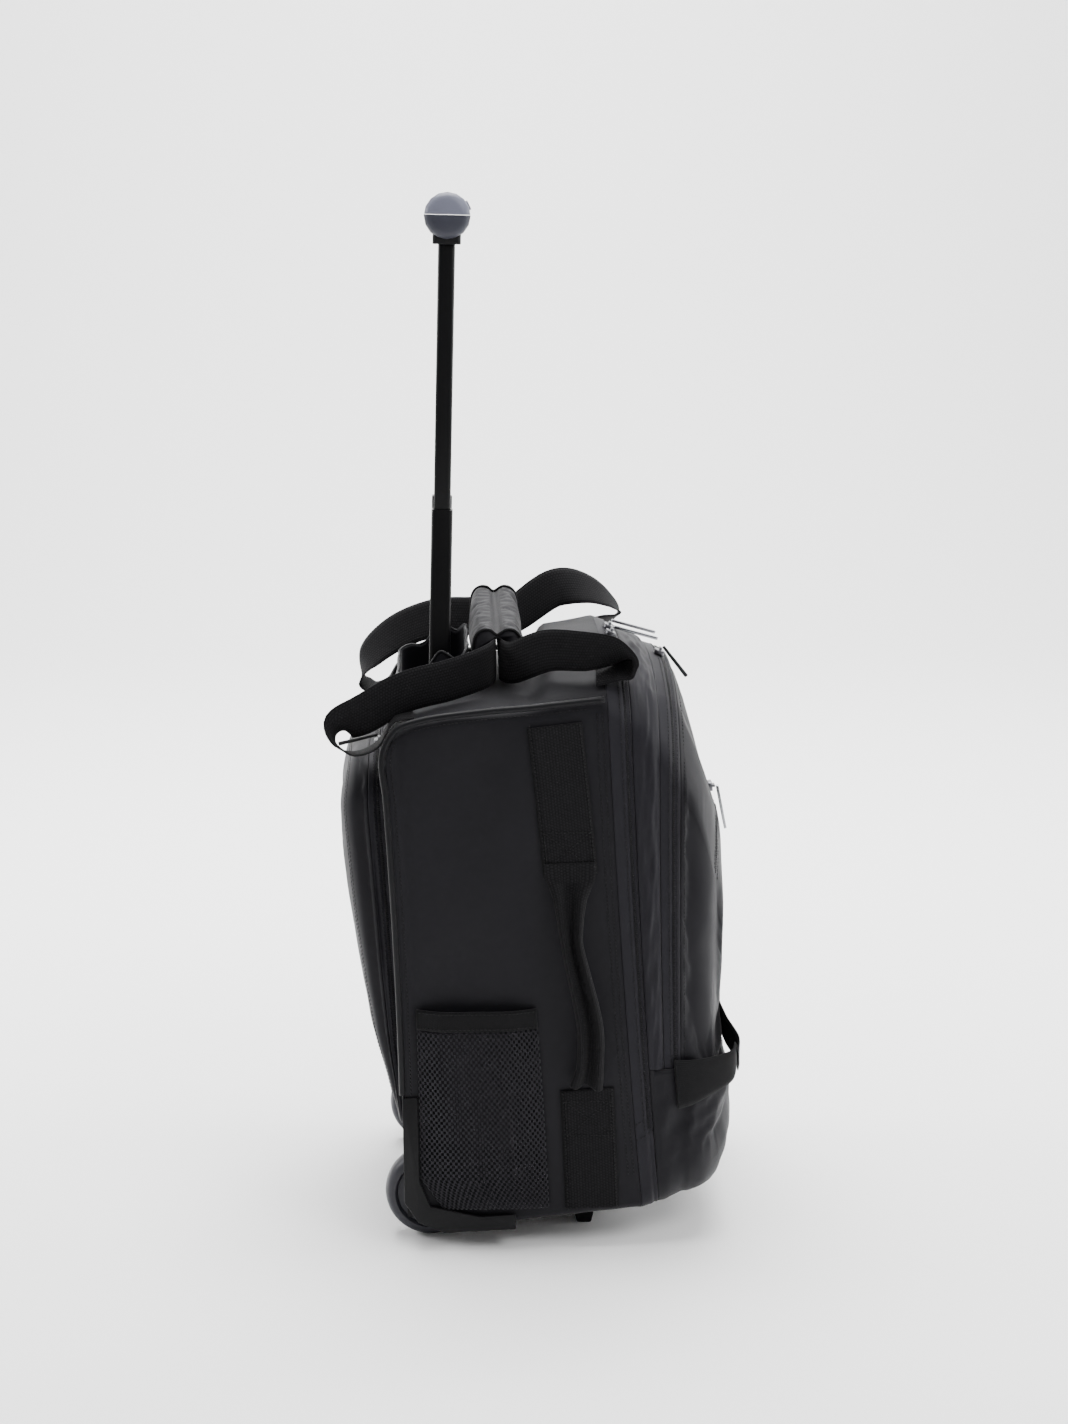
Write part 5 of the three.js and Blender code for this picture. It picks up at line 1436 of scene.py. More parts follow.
@dataclass
class FrontPockets:
    """The domed front pocket, the wrinkled section under its flap, and their seams."""

    rows: int = 60
    proud: float = 2.4

    def dome(self, grow: float, rows: int) -> list[Array]:
        """Rings of the dome from its seam to the middle of its face."""
        rings = []
        for u in np.linspace(0, len(DOME) - 1, rows):
            reach, *row = read_table(DOME, u)
            loop = grown(FORM.outline(row), grow)
            y = FORM.seam_y("band", loop[:, 1])
            rings.append(place(loop, np.minimum(y - 0.2, y - reach * (POCKET_DEPTH + grow))))
        return rings

    def pocket(self) -> Piece:
        """The front pocket above the flap's edge, filled out and soft at its corners."""
        sheet = Sheet(np.array(self.dome(0.0, self.rows)), True)
        p = sheet.points
        u = np.linspace(0, 1, self.rows)[:, None]
        fade = np.clip(u / 0.06, 0, 1)
        height = 1.6 * ripple(p, (130, 60, 120), 21, 16) + 0.6 * ripple(
            p, (50, 30, 44), 22, 20) * ripple(p, (90, 60, 90), 23)
        fold = -1.6 * bump(u, 0.36, 0.03) * bump(p[..., 2], 470.0, 60.0)
        sheet = sheet.pushed((height + fold - 0.3) * fade)
        made = sheet.build("front_pocket_cloth", last=True)
        cut_level(made, FLAP_HEIGHT + 0.2, True)
        self.fill(made, FORM.seam_y("band", 300.0) - 2.0, above=True)
        return self.finish(made, "front_pocket")

    def fill(self, made: Piece, seam: float, above: bool) -> None:
        """Lets cloth fill out, held along its seam and its cut edge."""
        count = len(made.data.vertices)
        co = np.empty(count * 3)
        made.data.vertices.foreach_get("co", co)
        p = co.reshape(-1, 3) / MM - ORIGIN
        edge = FORM.seam_y("band", p[:, 2]) - 4.0
        level = FLAP_HEIGHT + (0.8 if above else -0.8)
        at_cut = p[:, 2] < level if above else p[:, 2] > level
        settle(made, (p[:, 1] > edge) | at_cut, 3.0, 4.0 if above else 7.0, 0.012)

    def finish(self, made: Piece, node: str) -> Piece:
        """Gives a front piece its wall, material and place."""
        add_wall(made, FORM.cloth)
        return pad(made, FABRIC, 0.4, node)

    def lower(self) -> Piece:
        """The lower section: one cup from the zip's seam round to the face, in soft folds."""
        outlines = [FORM.outline(FORM.seams[s]) for s in ("zip", "mid")]
        bulge = grown(outlines[1], self.proud)
        start = place(outlines[0], FORM.seam_y("zip", outlines[0][:, 1]) - 0.2)
        middle = place(bulge, FORM.seam_y("mid", bulge[:, 1]))
        first = self.dome(self.proud, self.rows)
        rings = [start + (middle - start) * s for s in np.linspace(0, 1, 8)[:-1]]
        rings += [middle + (first[0] - middle) * s for s in np.linspace(0, 1, 7)[:-1]]
        rings = np.array(rings + first)
        sheet = Sheet(rings, True)
        p = sheet.points
        z = p[..., 2]
        fade = np.clip(np.arange(len(rings)) / 4.0, 0, 1)[:, None]
        free = np.clip((FLAP_HEIGHT - z) / 12.0, 0, 1) * fade
        folds = ripple(p, (60, 24, 46), 31) + 0.7 * ripple(p, (30, 13, 22), 32)
        low = np.clip((z - 60.0) / 30.0, 0.25, 1)
        height = (1.9 * folds + 0.4) * free * low
        made = sheet.pushed(height).build("lower_pocket_cloth", last=True)
        cut_level(made, FLAP_HEIGHT - 0.2, False)
        self.fill(made, 0.0, above=False)
        return self.finish(made, "lower_pocket")

    def build(self, stitching: Stitching) -> None:
        """Builds the strips and pockets, then their stitches and the pocket's zip."""
        bands = [
            SeamBand("main_zip_strip", "main_zip_band", "body", "zip", 0.6, GUSSET, zip_at=0.78),
            SeamBand("mid_gusset", "mid_compartment", "zip", "mid", 2.6, GUSSET, fold=1.15,
                     above=True, rows=26, seed=14),
            SeamBand("front_zip_strip", "front_zip_band", "mid", "band", 0.6, GUSSET, zip_at=0.65,
                     above=True, seed=17)]
        for band in bands:
            band.build(stitching)
        pocket, lower = self.pocket(), self.lower()
        self.stitch(stitching, Surface(pocket), Surface(lower))

    def stitch(self, stitching: Stitching, pocket: Surface, lower: Surface) -> None:
        """Lays the flap's double stitches, the seam's stitches and the pocket's zip."""
        low_ring = self.dome(self.proud, 12)
        for drop in (3.5, 10.5):
            z = FLAP_HEIGHT - drop
            line = []
            for ring in low_ring:
                side = ring[(ring[:, 0] < 0)]
                line.append(side[np.argmin(np.abs(side[:, 2] - z) + 200 * (side[:, 0] > 0))])
            left = np.array(line)
            left[:, 2] = z
            whole = np.vstack([left, (left * (-1, 1, 1))[::-1]])
            steps = np.linalg.norm(np.diff(whole, axis=0), axis=1)
            whole = catmull(whole[np.insert(steps > 4, 0, True)], 200)
            out = whole - np.array([0.0, FORM.seam_y("mid", z), z])
            lay(stitching.thread, lower, whole, unit(out))
        for u, rows in ((2.55, stitching.coils), (2.42, stitching.thread), (2.7, stitching.thread)):
            reach, *row = read_table(DOME, u)
            ring = place(*self._arch(row, reach))
            out = np.array([0.0, -1.0, 0.45])
            lay(rows, pocket, ring, out, 0.35 if rows is stitching.coils else 0.1)
        seam = place(*self._arch(read_table(DOME, 0.2)[1:], 0.1, 175.0))
        lay(stitching.thread, pocket, seam, unit(away(seam, 250.0)))

    @staticmethod
    def _arch(row: Sequence[float], reach: float, low: float = 330.0) -> tuple:
        """The part of a dome ring above a height, and its depths."""
        loop = FORM.outline(row)
        loop = loop[loop[:, 1] > low]
        return loop, FORM.seam_y("band", loop[:, 1]) - reach * POCKET_DEPTH


@dataclass
class Compression:
    """The wings, the strap between them and its buckle, round the lower front."""

    level: float = 152.0
    height: float = 46.0
    reach: float = 9.0
    thick: float = 3.0
    strap: float = 25.0
    rise: float = 42.0
    buckle: tuple = (50.0, 34.0, 8.0)

    def row(self, side: int, x: float, y: float, rise: float, width: float) -> Station:
        """A place on the compression line."""
        return Station((side * x, y, self.level + rise), (0.0, 0.0, 1.0), width)

    def wing(self, side: int) -> list[Station]:
        """Stations of one wing, from its root at the side seam to its tip in front."""
        seam = float(FORM.seam_y("band", self.level))
        face = seam - POCKET_DEPTH - 2.4
        edge = FORM.half * (0.95 * 0.6 + 0.97 * 0.4) + 2.4
        root = edge + float(FORM.bulge(self.level + self.height / 2)) + 0.4 + self.thick / 2
        return [self.row(side, root, seam + 4.8, 0, self.height),
                self.row(side, root - 2, seam - 6, 1, self.height * 0.94),
                self.row(side, root - 9, seam * 0.4 + face * 0.6, 5, self.height * 0.76),
                self.row(side, root - 22, face - self.reach * 0.45, 11, self.height * 0.6),
                self.row(side, root - 40, face - self.reach, 15, self.strap)]

    def build(self, stitching: Stitching) -> None:
        """Builds the wings, the strap and the buckle."""
        for side, label in ((-1, "near"), (1, "far")):
            made = ribbon(f"wing_{label}_web", self.wing(side), self.thick, 40, 0.6)
            pad(made, BINDING, 0.4, f"wing_{label}")
        tip = self.wing(1)[4].point
        proud = (self.thick + WEB) / 2 + 0.4
        z = self.level + self.rise - self.buckle[1] / 2
        rest = float(FORM.seam_y("band", z)) - POCKET_DEPTH - 0.4
        half = [(tip[0] + 8, tip[1] - proud + 1.5, 12), (tip[0] - 4, tip[1] - proud - 0.4, 17),
                (tip[0] * 0.72, tip[1] * 0.55 + rest * 0.45, 28),
                (tip[0] * 0.42, tip[1] * 0.15 + rest * 0.85, 38),
                (self.buckle[0] * 0.4, rest - self.buckle[2] / 2, self.rise)]
        rows = [[self.row(side, x, y, rise, self.strap) for x, y, rise in half] for side in (-1, 1)]
        strap = ribbon("front_strap_web", rows[0] + rows[1][::-1], WEB, 90)
        dress(strap, WEBBING, "bag", "front_strap")
        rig.sheet(strap, flat=(0.262, 0.025), held="stretched", rests_on=["front_buckle_body"])
        made = refined("front_buckle", "front_buckle_body", 1.6)
        dress(made, PLASTIC, "bag", "front_buckle")


@dataclass
class BackCover:
    """The domed cover on the back that stows the shoulder straps, and its gusset."""

    width: float = 274.0
    low: float = 98.0
    top: float = 446.0
    depth: float = 45.0
    split: float = 0.42
    profile: tuple = ((0, 0.2), (0.12, 0.36), (0.28, 0.66), (0.48, 0.86), (0.72, 0.97),
                      (0.85, 1.0), (1.0, 0.8))
    rings: tuple = ((0.0, 0.0), (0.55, 3.0), (0.86, 14.0), (1.0, 36.0), (1.03, 80.0),
                    (1.04, 128.0))

    def loop(self, shrink: float) -> Array:
        """The cover's outline, drawn in by a distance."""
        row = Outline(self.width / 2 - shrink, self.low + shrink, self.top - shrink, 0.0,
                      max(8.0, 40.0 - shrink / 2))
        return FORM.loop(row, side=52, top=40, bottom=40, corner=12)

    def surface_y(self, z: Array, share: Array) -> Array:
        """Depth of the cover at a height and a share of its standing out."""
        table = np.array(self.profile)
        level = np.clip((z - self.low) / (self.top - self.low), 0, 1)
        return FORM.seam_y("back", z) + 0.8 + self.depth * blend_rows(
            level, table[:, 0], table[:, 1]) * share

    def gusset(self) -> Sheet:
        """The wall between the bag's back and the cover, with its zip and a slit fold."""
        shares = np.linspace(0, 1, 16)
        rings = [place(self.loop(0.0), self.surface_y(self.loop(0.0)[:, 1], s * self.split))
                 for s in shares]
        sheet = Sheet(np.array(rings), True)
        z, s = sheet.points[..., 2], shares[:, None]
        height = (0.5 * ripple(sheet.points, (60, 12, 40), 41) * np.sin(math.pi * s)
                  - 1.2 * bump(s, 0.55, 0.12) + 0.5 * bump(s, 0.55, 0.25))
        return sheet.pushed(height - 2.2 * bump(s, 0.86, 0.1) * bump(z, 306.0, 52.0))

    def cover(self) -> Piece:
        """The padded cover, filled out as soft cloth."""
        table = np.array(self.rings)
        rings = []
        for u in np.linspace(0, len(table) - 1, 54):
            reach, shrink = read_table(table, u)
            loop = self.loop(shrink)
            share = self.split + (1 - self.split) * reach
            rings.append(place(loop, self.surface_y(loop[:, 1], share) + 0.4))
        sheet = Sheet(np.array(rings), True)
        fade = np.clip(np.arange(54) / 4.0, 0, 1)[:, None]
        height = 1.6 * ripple(sheet.points, (120, 60, 150), 43, 16) + 0.5 * ripple(
            sheet.points, (50, 40, 60), 44, 20) * ripple(sheet.points, (90, 60, 90), 45)
        made = sheet.pushed(height * fade).build("back_cover_cloth", last=True)
        count = len(made.data.vertices)
        pinned = np.arange(count) < 3 * rings[0].shape[0]
        settle(made, pinned, 3.0, 1.6, 0.004)
        add_wall(made, 3.0)
        return pad(made, FABRIC, 0.5, "back_cover")

    def build(self, stitching: Stitching) -> None:
        """Builds the gusset and the cover with their stitches and zip."""
        gusset = self.gusset()
        pad(gusset.build("back_gusset_cloth", wall=FORM.cloth), GUSSET, 0.4, "back_gusset")
        cover = Surface(self.cover())
        for row, rows, lift in ((8, stitching.coils, 0.5), (5, stitching.thread, 0.15),
                                (11, stitching.thread, 0.15)):
            line = gusset.points[row]
            line = line[line[:, 2] > (185.0 if rows is stitching.coils else 172.0)]
            rows.line(line, away(line, 270.0), lift)
        for shrink in (9.0, 13.5):
            loop = self.loop(shrink)
            loop = np.vstack([loop, loop[:1]])
            ring = place(loop, self.surface_y(loop[:, 1], 0.95))
            out = place((loop - (0.0, 272.0)) * 0.3, 60.0)
            lay(stitching.thread, cover, ring, unit(out))


@dataclass
class SideWebbing:
    """The wide webbing down the near side, gathered to a handle between its two lengths."""

    break_low: float = 150.0
    break_high: float = 352.0
    rows: tuple = ((1.03, 0, 0.94, 0), (0.96, 0.1, 0.9, -0.02), (0.88, 0.45, 0.62, -0.06),
                   (0.8, 0.8, 0.5, -0.09), (0.69, 0.95, 0.4, -0.1), (0.32, 1, 0.49, 0.11),
                   (0.13, 0.7, 0.5, 0.07), (0.02, 0.3, 0.62, -0.02))

    def strip(self, name: str, node: str, low: float, high: float) -> Piece:
        """One flat length of the webbing."""
        stations = [Station((FORM.side_x(z, 0.9 + WEB / 2), strip_y(z), z), (0, 1, 0), STRIP_WIDTH)
                    for z in np.linspace(low, high, 9)]
        made = ribbon(name, stations, WEB, 48)
        dress(made, WEBBING, "bag", node)
        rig.sheet(made, flat=(STRIP_WIDTH * MM, (high - low) * MM), held="laid",
                 rests_on=["body_shell_cloth"])
        return made

    def handle(self) -> Piece:
        """The gathered handle, cupped where its webbing is folded together."""
        span = self.break_high - self.break_low
        stations = []
        for level, proud, wide, drift in self.rows:
            z = self.break_low + span * level
            x = FORM.side_x(z, 0.9 + 1.5 * WEB + 0.4 + 17.0 * proud)
            stations.append(Station((x, strip_y(z) - STRIP_WIDTH * drift, z), (0, 1, 0),
                                    STRIP_WIDTH * wide))
        made = ribbon("side_handle_web", stations, WEB, 80, 1.0, STRIP_WIDTH)
        dress(made, WEBBING, "bag", "side_handle")
        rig.sheet(made, flat=(STRIP_WIDTH * MM, 0.222), held="gathered",
                 rests_on=["side_strip_upper_web", "side_strip_lower_web"])
        return made

    def build(self, stitching: Stitching) -> None:
        """Builds the webbing with its box stitches."""
        top = FORM.panel_top(float(strip_y(500.0))) - 16.0
        low = FORM.panel_low(float(strip_y(40.0))) + 8.0
        self.strip("side_strip_upper_web", "side_strip_upper", self.break_high - 6, top)
        self.strip("side_strip_lower_web", "side_strip_lower", low, self.break_low)
        self.handle()
        proud = 0.9 + WEB
        corners = [(-20, 107), (20, 107), (20, 139), (-20, 139), (-20, 107), (20, 139), (20, 107),
                   (-20, 139)]
        for high in (0.0, 246.0):
            points = []
            for (a, za), (b, zb) in zip(corners, corners[1:]):
                for t in np.linspace(0, 1, 12):
                    z = za + (zb - za) * t + high
                    y = float(strip_y(z)) + a + (b - a) * t
                    points.append((float(FORM.side_x(z, proud)), y, z))
            stitching.thread.line(np.array(points), (-1.0, 0.0, 0.0), 0.15)
        for offset in (-21.5, 21.5):
            for start, end in ((low, self.break_low - 4), (self.break_high, top)):
                z = np.linspace(start, end, 60)
                line = np.stack([FORM.side_x(z, proud), strip_y(z) + offset, z], -1)
                stitching.thread.line(line, (-1.0, 0.0, 0.0), 0.12)


@dataclass
class MeshPocket:
    """The side pocket of netting, gathered to a bound top edge."""

    low: float = 39.0
    top: float = 226.0
    binding: float = 18.0
    puff: float = 13.0
    sheet: float = 1.4

    def grid(self, low: float, high: float, columns: int, rows: int, lift: float) -> Sheet:
        """The pocket's outer surface between two heights, with its gathers."""
        z = np.linspace(low, high, rows)[:, None] * np.ones((1, columns))
        share = np.linspace(0, 1, columns)[None] * np.ones((rows, 1))
        level = (z - self.low) / (self.top - self.low)
        front = FORM.seam_y("back", z) - (127.0 + (118.0 - 127.0) * level)
        back = FORM.seam_y("back", z) - 11.8 - np.maximum(0, 68.0 - z) * 0.7
        gather = 1 + 0.14 * np.sin(share * 3 * math.pi)
        swell = np.sin(math.pi * share) ** 0.7 * np.sin(math.pi * (0.08 + 0.62 * level))
        y = back + (front - back) * share
        hang = np.clip((self.top - z) / 40.0, 0, 1) * np.clip((z - self.low) / 20.0, 0, 1)
        fold = (1.3 * bump(y, -7.0 + (z - 200) * 0.02, 5.0) * bump(z, 190.0, 60.0)
                + 1.6 * bump(y, -58.0 - (200 - z) * 0.146, 4.0)
                + 0.9 * bump(y, -30.0 - (200 - z) * 0.1, 6.0)
                - 0.8 * bump(y, -44.0 - (200 - z) * 0.12, 6.0))
        loose = ripple(np.stack([y * 0, y, z], -1), (99, 26, 80), 51) * 0.8
        edge = np.clip(share / 0.08, 0, 1) * np.clip((1 - share) / 0.08, 0, 1)
        proud = 0.9 + lift + self.puff * swell * gather + (fold + loose) * hang * edge
        return Sheet(np.stack([FORM.side_x(z, proud), y, z], -1))

    def build(self, stitching: Stitching) -> None:
        """Builds the net and its binding."""
        seam = self.top - self.binding
        grid = self.grid(self.low, seam - 0.4, 70, 70, self.sheet)
        net = grid.build("mesh_pocket_net", wall=0.5)
        dress(net, NET, "bag", "mesh_pocket")
        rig.sheet(net, flat=grid.flat(), held="gathered",
                 rests_on=["body_shell_cloth", "pocket_binding_tape"])
        edge = self.grid(seam, self.top, 60, 9, self.sheet + 0.6)
        tape = edge.build("pocket_binding_tape", wall=2.0)
        dress(tape, BINDING, "bag", "pocket_binding")
        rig.sheet(tape, flat=edge.flat(), held="folded", rests_on=["mesh_pocket_net"])
        for row in (1, 7):
            stitching.thread.line(edge.points[row][2:-2], (-1.0, 0.0, 0.0), 0.15)


@dataclass
class Corners:
    """Guards, wheel housings, wheels, axles and feet."""

    radius: float = 41.0
    width: float = 26.0
    bore: float = 4.2
    reach: float = 122.0

    def profile(self) -> list[tuple[float, float]]:
        """Outline of a wheel: round tread, recessed faces and a hub."""
        half, radius, bore = self.width / 2, self.radius, self.bore
        side = [(bore, -half), (bore + 6, -half), (bore + 8, 4 - half), (radius * 0.5, 4.6 - half),
                (radius * 0.72, 4 - half), (radius * 0.75, 1.2 - half), (radius * 0.78, -half)]
        tread = [(radius * (0.78 + 0.22 * math.sin(a) ** 0.7), -half * math.cos(a))
                 for a in np.linspace(0, math.pi, 19)[1:-1]]
        return side + tread + [(r, -x) for r, x in reversed(side)]

    def build(self) -> None:
        """Builds both sides."""
        for side, label in ((-1, "near"), (1, "far")):
            centre = (side * self.reach, 0.0, self.radius)
            wheel = lathe(f"wheel_{label}_tread", self.profile(), centre, 80)
            dress(wheel, WHEEL, f"{label}_wheel", f"wheel_{label}")
            for node, bevel in ((f"guard_{label}", 0.7), (f"foot_{label}", 1.5)):
                made = refined(node, f"{node}_moulding", bevel)
                dress(made, PLASTIC, "bag", node)
            paint_node(f"wheel_housing_{label}", PLASTIC)
            paint_node(f"axle_{label}", STEEL)


@dataclass
class Trolley:
    """The two-stage handle: tubes, grip, sockets, button and the well they stand in."""

    tilt: float = 1.35
    spacing: float = 116.0

    def place(self, points: Array) -> Array:
        """Turns points in the handle's own frame into the bag's."""
        turn = math.radians(self.tilt)
        p = np.asarray(points, float)
        y = p[..., 1] * math.cos(turn) - p[..., 2] * math.sin(turn)
        z = p[..., 1] * math.sin(turn) + p[..., 2] * math.cos(turn)
        return np.stack([p[..., 0], y, z + 41.0], -1)

    def tube(self, name: str, size: tuple, low: float, high: float, x: float) -> Piece:
        """A rounded rectangular tube, open at its top.

        Args:
            name: name of the piece.
            size: width, depth and wall.
            low: height of its foot.
            high: height of its end.
            x: where it stands.

        Returns:
            The new object.
        """
        wide, deep, wall = size
        rings = []
        inner = rounded_outline(wide - 2 * wall, deep - 2 * wall, 2.2, 6)
        outer = rounded_outline(wide, deep, 3.4, 6)
        for outline, z in ((inner, low), (outer * 0.97, low), (outer, low + 0.6),
                           (outer, high - 0.6), (outer * 0.97, high), (inner, high), (inner, low)):
            rings.append(np.column_stack([outline, np.full(len(outline), z)]))
        points = self.place(np.array(rings) + np.array([x, 0.0, 0.0]))
        made = Sheet(points, True, points.reshape(-1, 3).mean(0)).build(name)
        outwards(made)
        made.data.set_sharp_from_angle(angle=math.radians(40.0))
        return made

    def build(self) -> None:
        """Builds the tubes, the grip with its sockets and button, and the well."""
        sizes = {"lower": ((16.9, 18.9, 1.5), 264.0, 614.0),
                 "upper": ((13.0, 15.0, 1.3), 539.0, 859.5)}
        for side, label in ((-1, "near"), (1, "far")):
            x = side * self.spacing / 2
            for stage, (size, low, high) in sizes.items():
                made = self.tube(f"tube_{stage}_{label}_metal", size, low, high, x)
                dress(made, TUBE, f"{stage}_stage", f"tube_{stage}_{label}")
            paint_node(f"channel_{label}", TUBE)
            made = refined(f"grip_socket_{label}", f"grip_socket_{label}_moulding", 0.8)
            dress(made, PLASTIC, "upper_stage", f"grip_socket_{label}")
        for part, finish in (("grip_upper", GRIP_LIGHT), ("grip_lower", GRIP_DARK)):
            dress(refined(part, f"{part}_shell", 0.5, 32.0), finish, "upper_stage", part)
        dress(refined("grip_button", "grip_button_pad", 0.8), GRIP_LIGHT, "button", "grip_button")
        self.well()

    def well(self) -> None:
        """The fabric well: a sleeve with a soft, bound rim, and its floor round the tubes."""
        outline = rounded_outline(172.0, 64.0, 12.0, 7)
        outline = self._even(np.vstack([outline, outline[:1]]), 240)[:-1]
        outline[:, 1] -= 5.0
        x, y = outline.T
        rim = 506.0 + (27.0 - y) * 25.0 / 64.0
        side = np.clip((np.abs(x) - 70.0) / 10.0, 0, 1)
        rim = rim + side * (9.0 * bump(y, -12.0, 8.0) - 5.0 * bump(y, 5.0, 8.0)
                            - 5.0 * bump(y, -28.0, 6.0))
        rim = rim + (1 - side) * 2.0 * np.sin(x / 17.0)
        rings = []
        for t in np.linspace(0, 1, 20):
            flare = 1 + 0.012 * np.sin(x / 9.0)[:, None] * t**2 - 0.02 * t**2
            flat = outline * flare
            rings.append(np.column_stack([flat, 465.4 + (rim - 465.4) * t]))
        sleeve = Sheet(np.array(rings), True, np.array([0.0, -5.0, 490.0]))
        pad(sleeve.build("handle_well_cloth", wall=1.8), LINING, 0.3, "handle_well")
        path = catmull(np.vstack([rings[-1][::4], rings[-1][:1]]), 300)
        dress(swept(path, 1.5, 8, "well_binding"), PIPING, "bag")
        outline = rounded_outline(168.0, 60.0, 10.0) - (0, 5.0)
        floor = box_cutter("well_floor", outline, 465.4, 467.2)
        holes = []
        for side in (-1, 1):
            hole = rounded_outline(17.9, 19.9, 3.6)
            points = np.array([np.insert(hole, 2, z, 1) for z in (400.0, 450.0)])
            points = self.place(points + (side * self.spacing / 2, 0.0, 0.0))
            holes.append(closed_form("hole", points))
        cut_away(floor, holes)
        dress(floor, LINING, "bag")

    @staticmethod
    def _even(points: Array, count: int) -> Array:
        """A flat polyline read again at even places."""
        steps = np.insert(np.linalg.norm(np.diff(points, axis=0), axis=1).cumsum(), 0, 0.0)
        at = np.linspace(0, steps[-1], count)
        return np.stack([np.interp(at, steps, points[:, k]) for k in range(2)], -1)


@dataclass
class CarryHandle:
    """Two webbing straps over the top, held together by a padded wrap."""

    length: float = 168.0
    spread: float = 2.4
    width: float = 37.0
    tilt: float = -5.5
    lobe: tuple = (
        (0, 18.4), (2.2, 19.2), (5.5, 22.2), (11, 23.4), (17, 21.2), (20.8, 15), (22, 5),
        (21.5, -6), (19.4, -15), (15.5, -21.2), (10, -23), (6.2, -21), (4.7, -15), (4.6, 0),
        (4.6, 10), (3.4, 15), (0, 16.3))
    back_near: tuple = (
        (0.66, -0.25, 0.5, 0, 0.1, 1), (0.79, -0.1, 0.46, 0, 0, 1), (0.85, 0.1, 0.46, 0.1, 0, 1),
        (0.88, 0.28, 0.46, 0.15, 0, 1), (0.89, 0.385, 0.26, 0.5, 0, 1),
        (0.88, 0.4, -0.04, 1, 0, 0.4), (0.87, 0.33, -0.24, 1, 0, 0.1),
        (0.86, 0.22, -0.1, 1, 0, 0), (0.855, 0.14, 0.09, 1, 0, -0.08),
        (0.85, 0.06, 0.032, 1, 0, -0.08))
    back_far: tuple = (
        (0.66, -0.22, 0.78, 0.1, 0.1, 1), (0.78, -0.04, 0.8, 0.2, 0, 1),
        (0.85, 0.16, 0.76, 0.4, 0, 1), (0.88, 0.3, 0.46, 0.8, 0, 1),
        (0.88, 0.32, 0.06, 1, 0, 0.4), (0.87, 0.27, -0.08, 1, 0, 0.1), (0.86, 0.2, 0.04, 1, 0, 0),
        (0.855, 0.14, 0.1, 1, 0, -0.08), (0.85, 0.06, 0.032, 1, 0, -0.08))
    front_near: tuple = (
        (0.64, -0.375, 0.52, 0, 0, 1), (0.79, -0.53, 0.56, 0.05, 0, 1),
        (0.86, -0.68, 0.56, 0.2, 0, 1), (0.88, -0.82, 0.54, 0.6, 0, 0.7),
        (0.88, -0.9, 0.4, 1, 0, 0.2), (0.87, -0.9, 0.26, 1, 0, -0.3),
        (0.84, -0.84, 0.15, 1, 0, -0.45), (0.82, -0.74, 0.045, 1, 0, -0.47))
    front_far: tuple = (
        (0.64, -0.4, 0.7, 0, 0, 1), (0.78, -0.62, 0.82, 0.2, 0, 1),
        (0.85, -0.78, 0.8, 0.8, 0, 0.7), (0.88, -0.89, 0.6, 1, 0, 0.3),
        (0.87, -0.93, 0.36, 1, 0, 0.1), (0.86, -0.91, 0.24, 1, 0, -0.3),
        (0.84, -0.84, 0.15, 1, 0, -0.45), (0.82, -0.74, 0.045, 1, 0, -0.47))

    def wrap_point(self, along: float, offset: Array, lift: Array) -> Array:
        """Places at a distance along the wrap, off its middle and over it."""
        turn = math.radians(self.tilt)
        x = along * math.cos(turn) + lift * math.sin(turn)
        z = -along * math.sin(turn) + lift * math.cos(turn)
        return np.stack(np.broadcast_arrays(x, offset - 63.0, z + 535.0), -1)

    def stations(self, rows: Sequence[Sequence[float]], side: int) -> list[Station]:
        """Stations of one end of a strap."""
        made = []
        for share, depth, rise, across, along, up in rows:
            x, y = FORM.half * share, 200.0 * depth
            z = FORM.top_at(x, y) + 50.0 * rise
            made.append(Station((side * x, y, z), (side * across, along, up), self.width))
        return made

    def strap(self, name: str, near: tuple, far: tuple, offset: float) -> Piece:
        """One strap from its near seam through the wrap to its far seam."""
        inside = [Station(self.wrap_point(self.length * s, offset, -3.5), (0, 0, 1), self.width)
                  for s in (-0.5, -0.4, -0.2, 0.2, 0.4, 0.5)]
        rows = self.stations(near, -1)[::-1] + inside + self.stations(far, 1)
        made = ribbon(f"{name}_web", rows, WEB, 190)
        dress(made, WEBBING, "bag", name)
        span = catmull(np.array([s.point for s in rows]), 190)
        long = float(np.sum(np.linalg.norm(np.diff(span, axis=0), axis=1))) * MM
        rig.sheet(made, flat=(long, self.width * MM), held="hung",
                 rests_on=["body_shell_cloth", "handle_wrap_cloth"])
        return made

    def wrap_ring(self, along: float, shrink: float) -> Array:
        """Two lobes folded over the straps, at a distance along, drawn in by a share."""
        half = catmull(np.array(self.lobe), 44)
        outline = np.vstack([half, (half * (-1, 1))[::-1][1:-1]])
        drawn = (outline - (0.0, 2.0)) * (1 - shrink) + (0.0, 2.0)
        drawn[:, 0] = np.where(np.abs(outline[:, 0]) < 5.5, outline[:, 0], drawn[:, 0])
        return self.wrap_point(along, drawn[:, 0], drawn[:, 1])

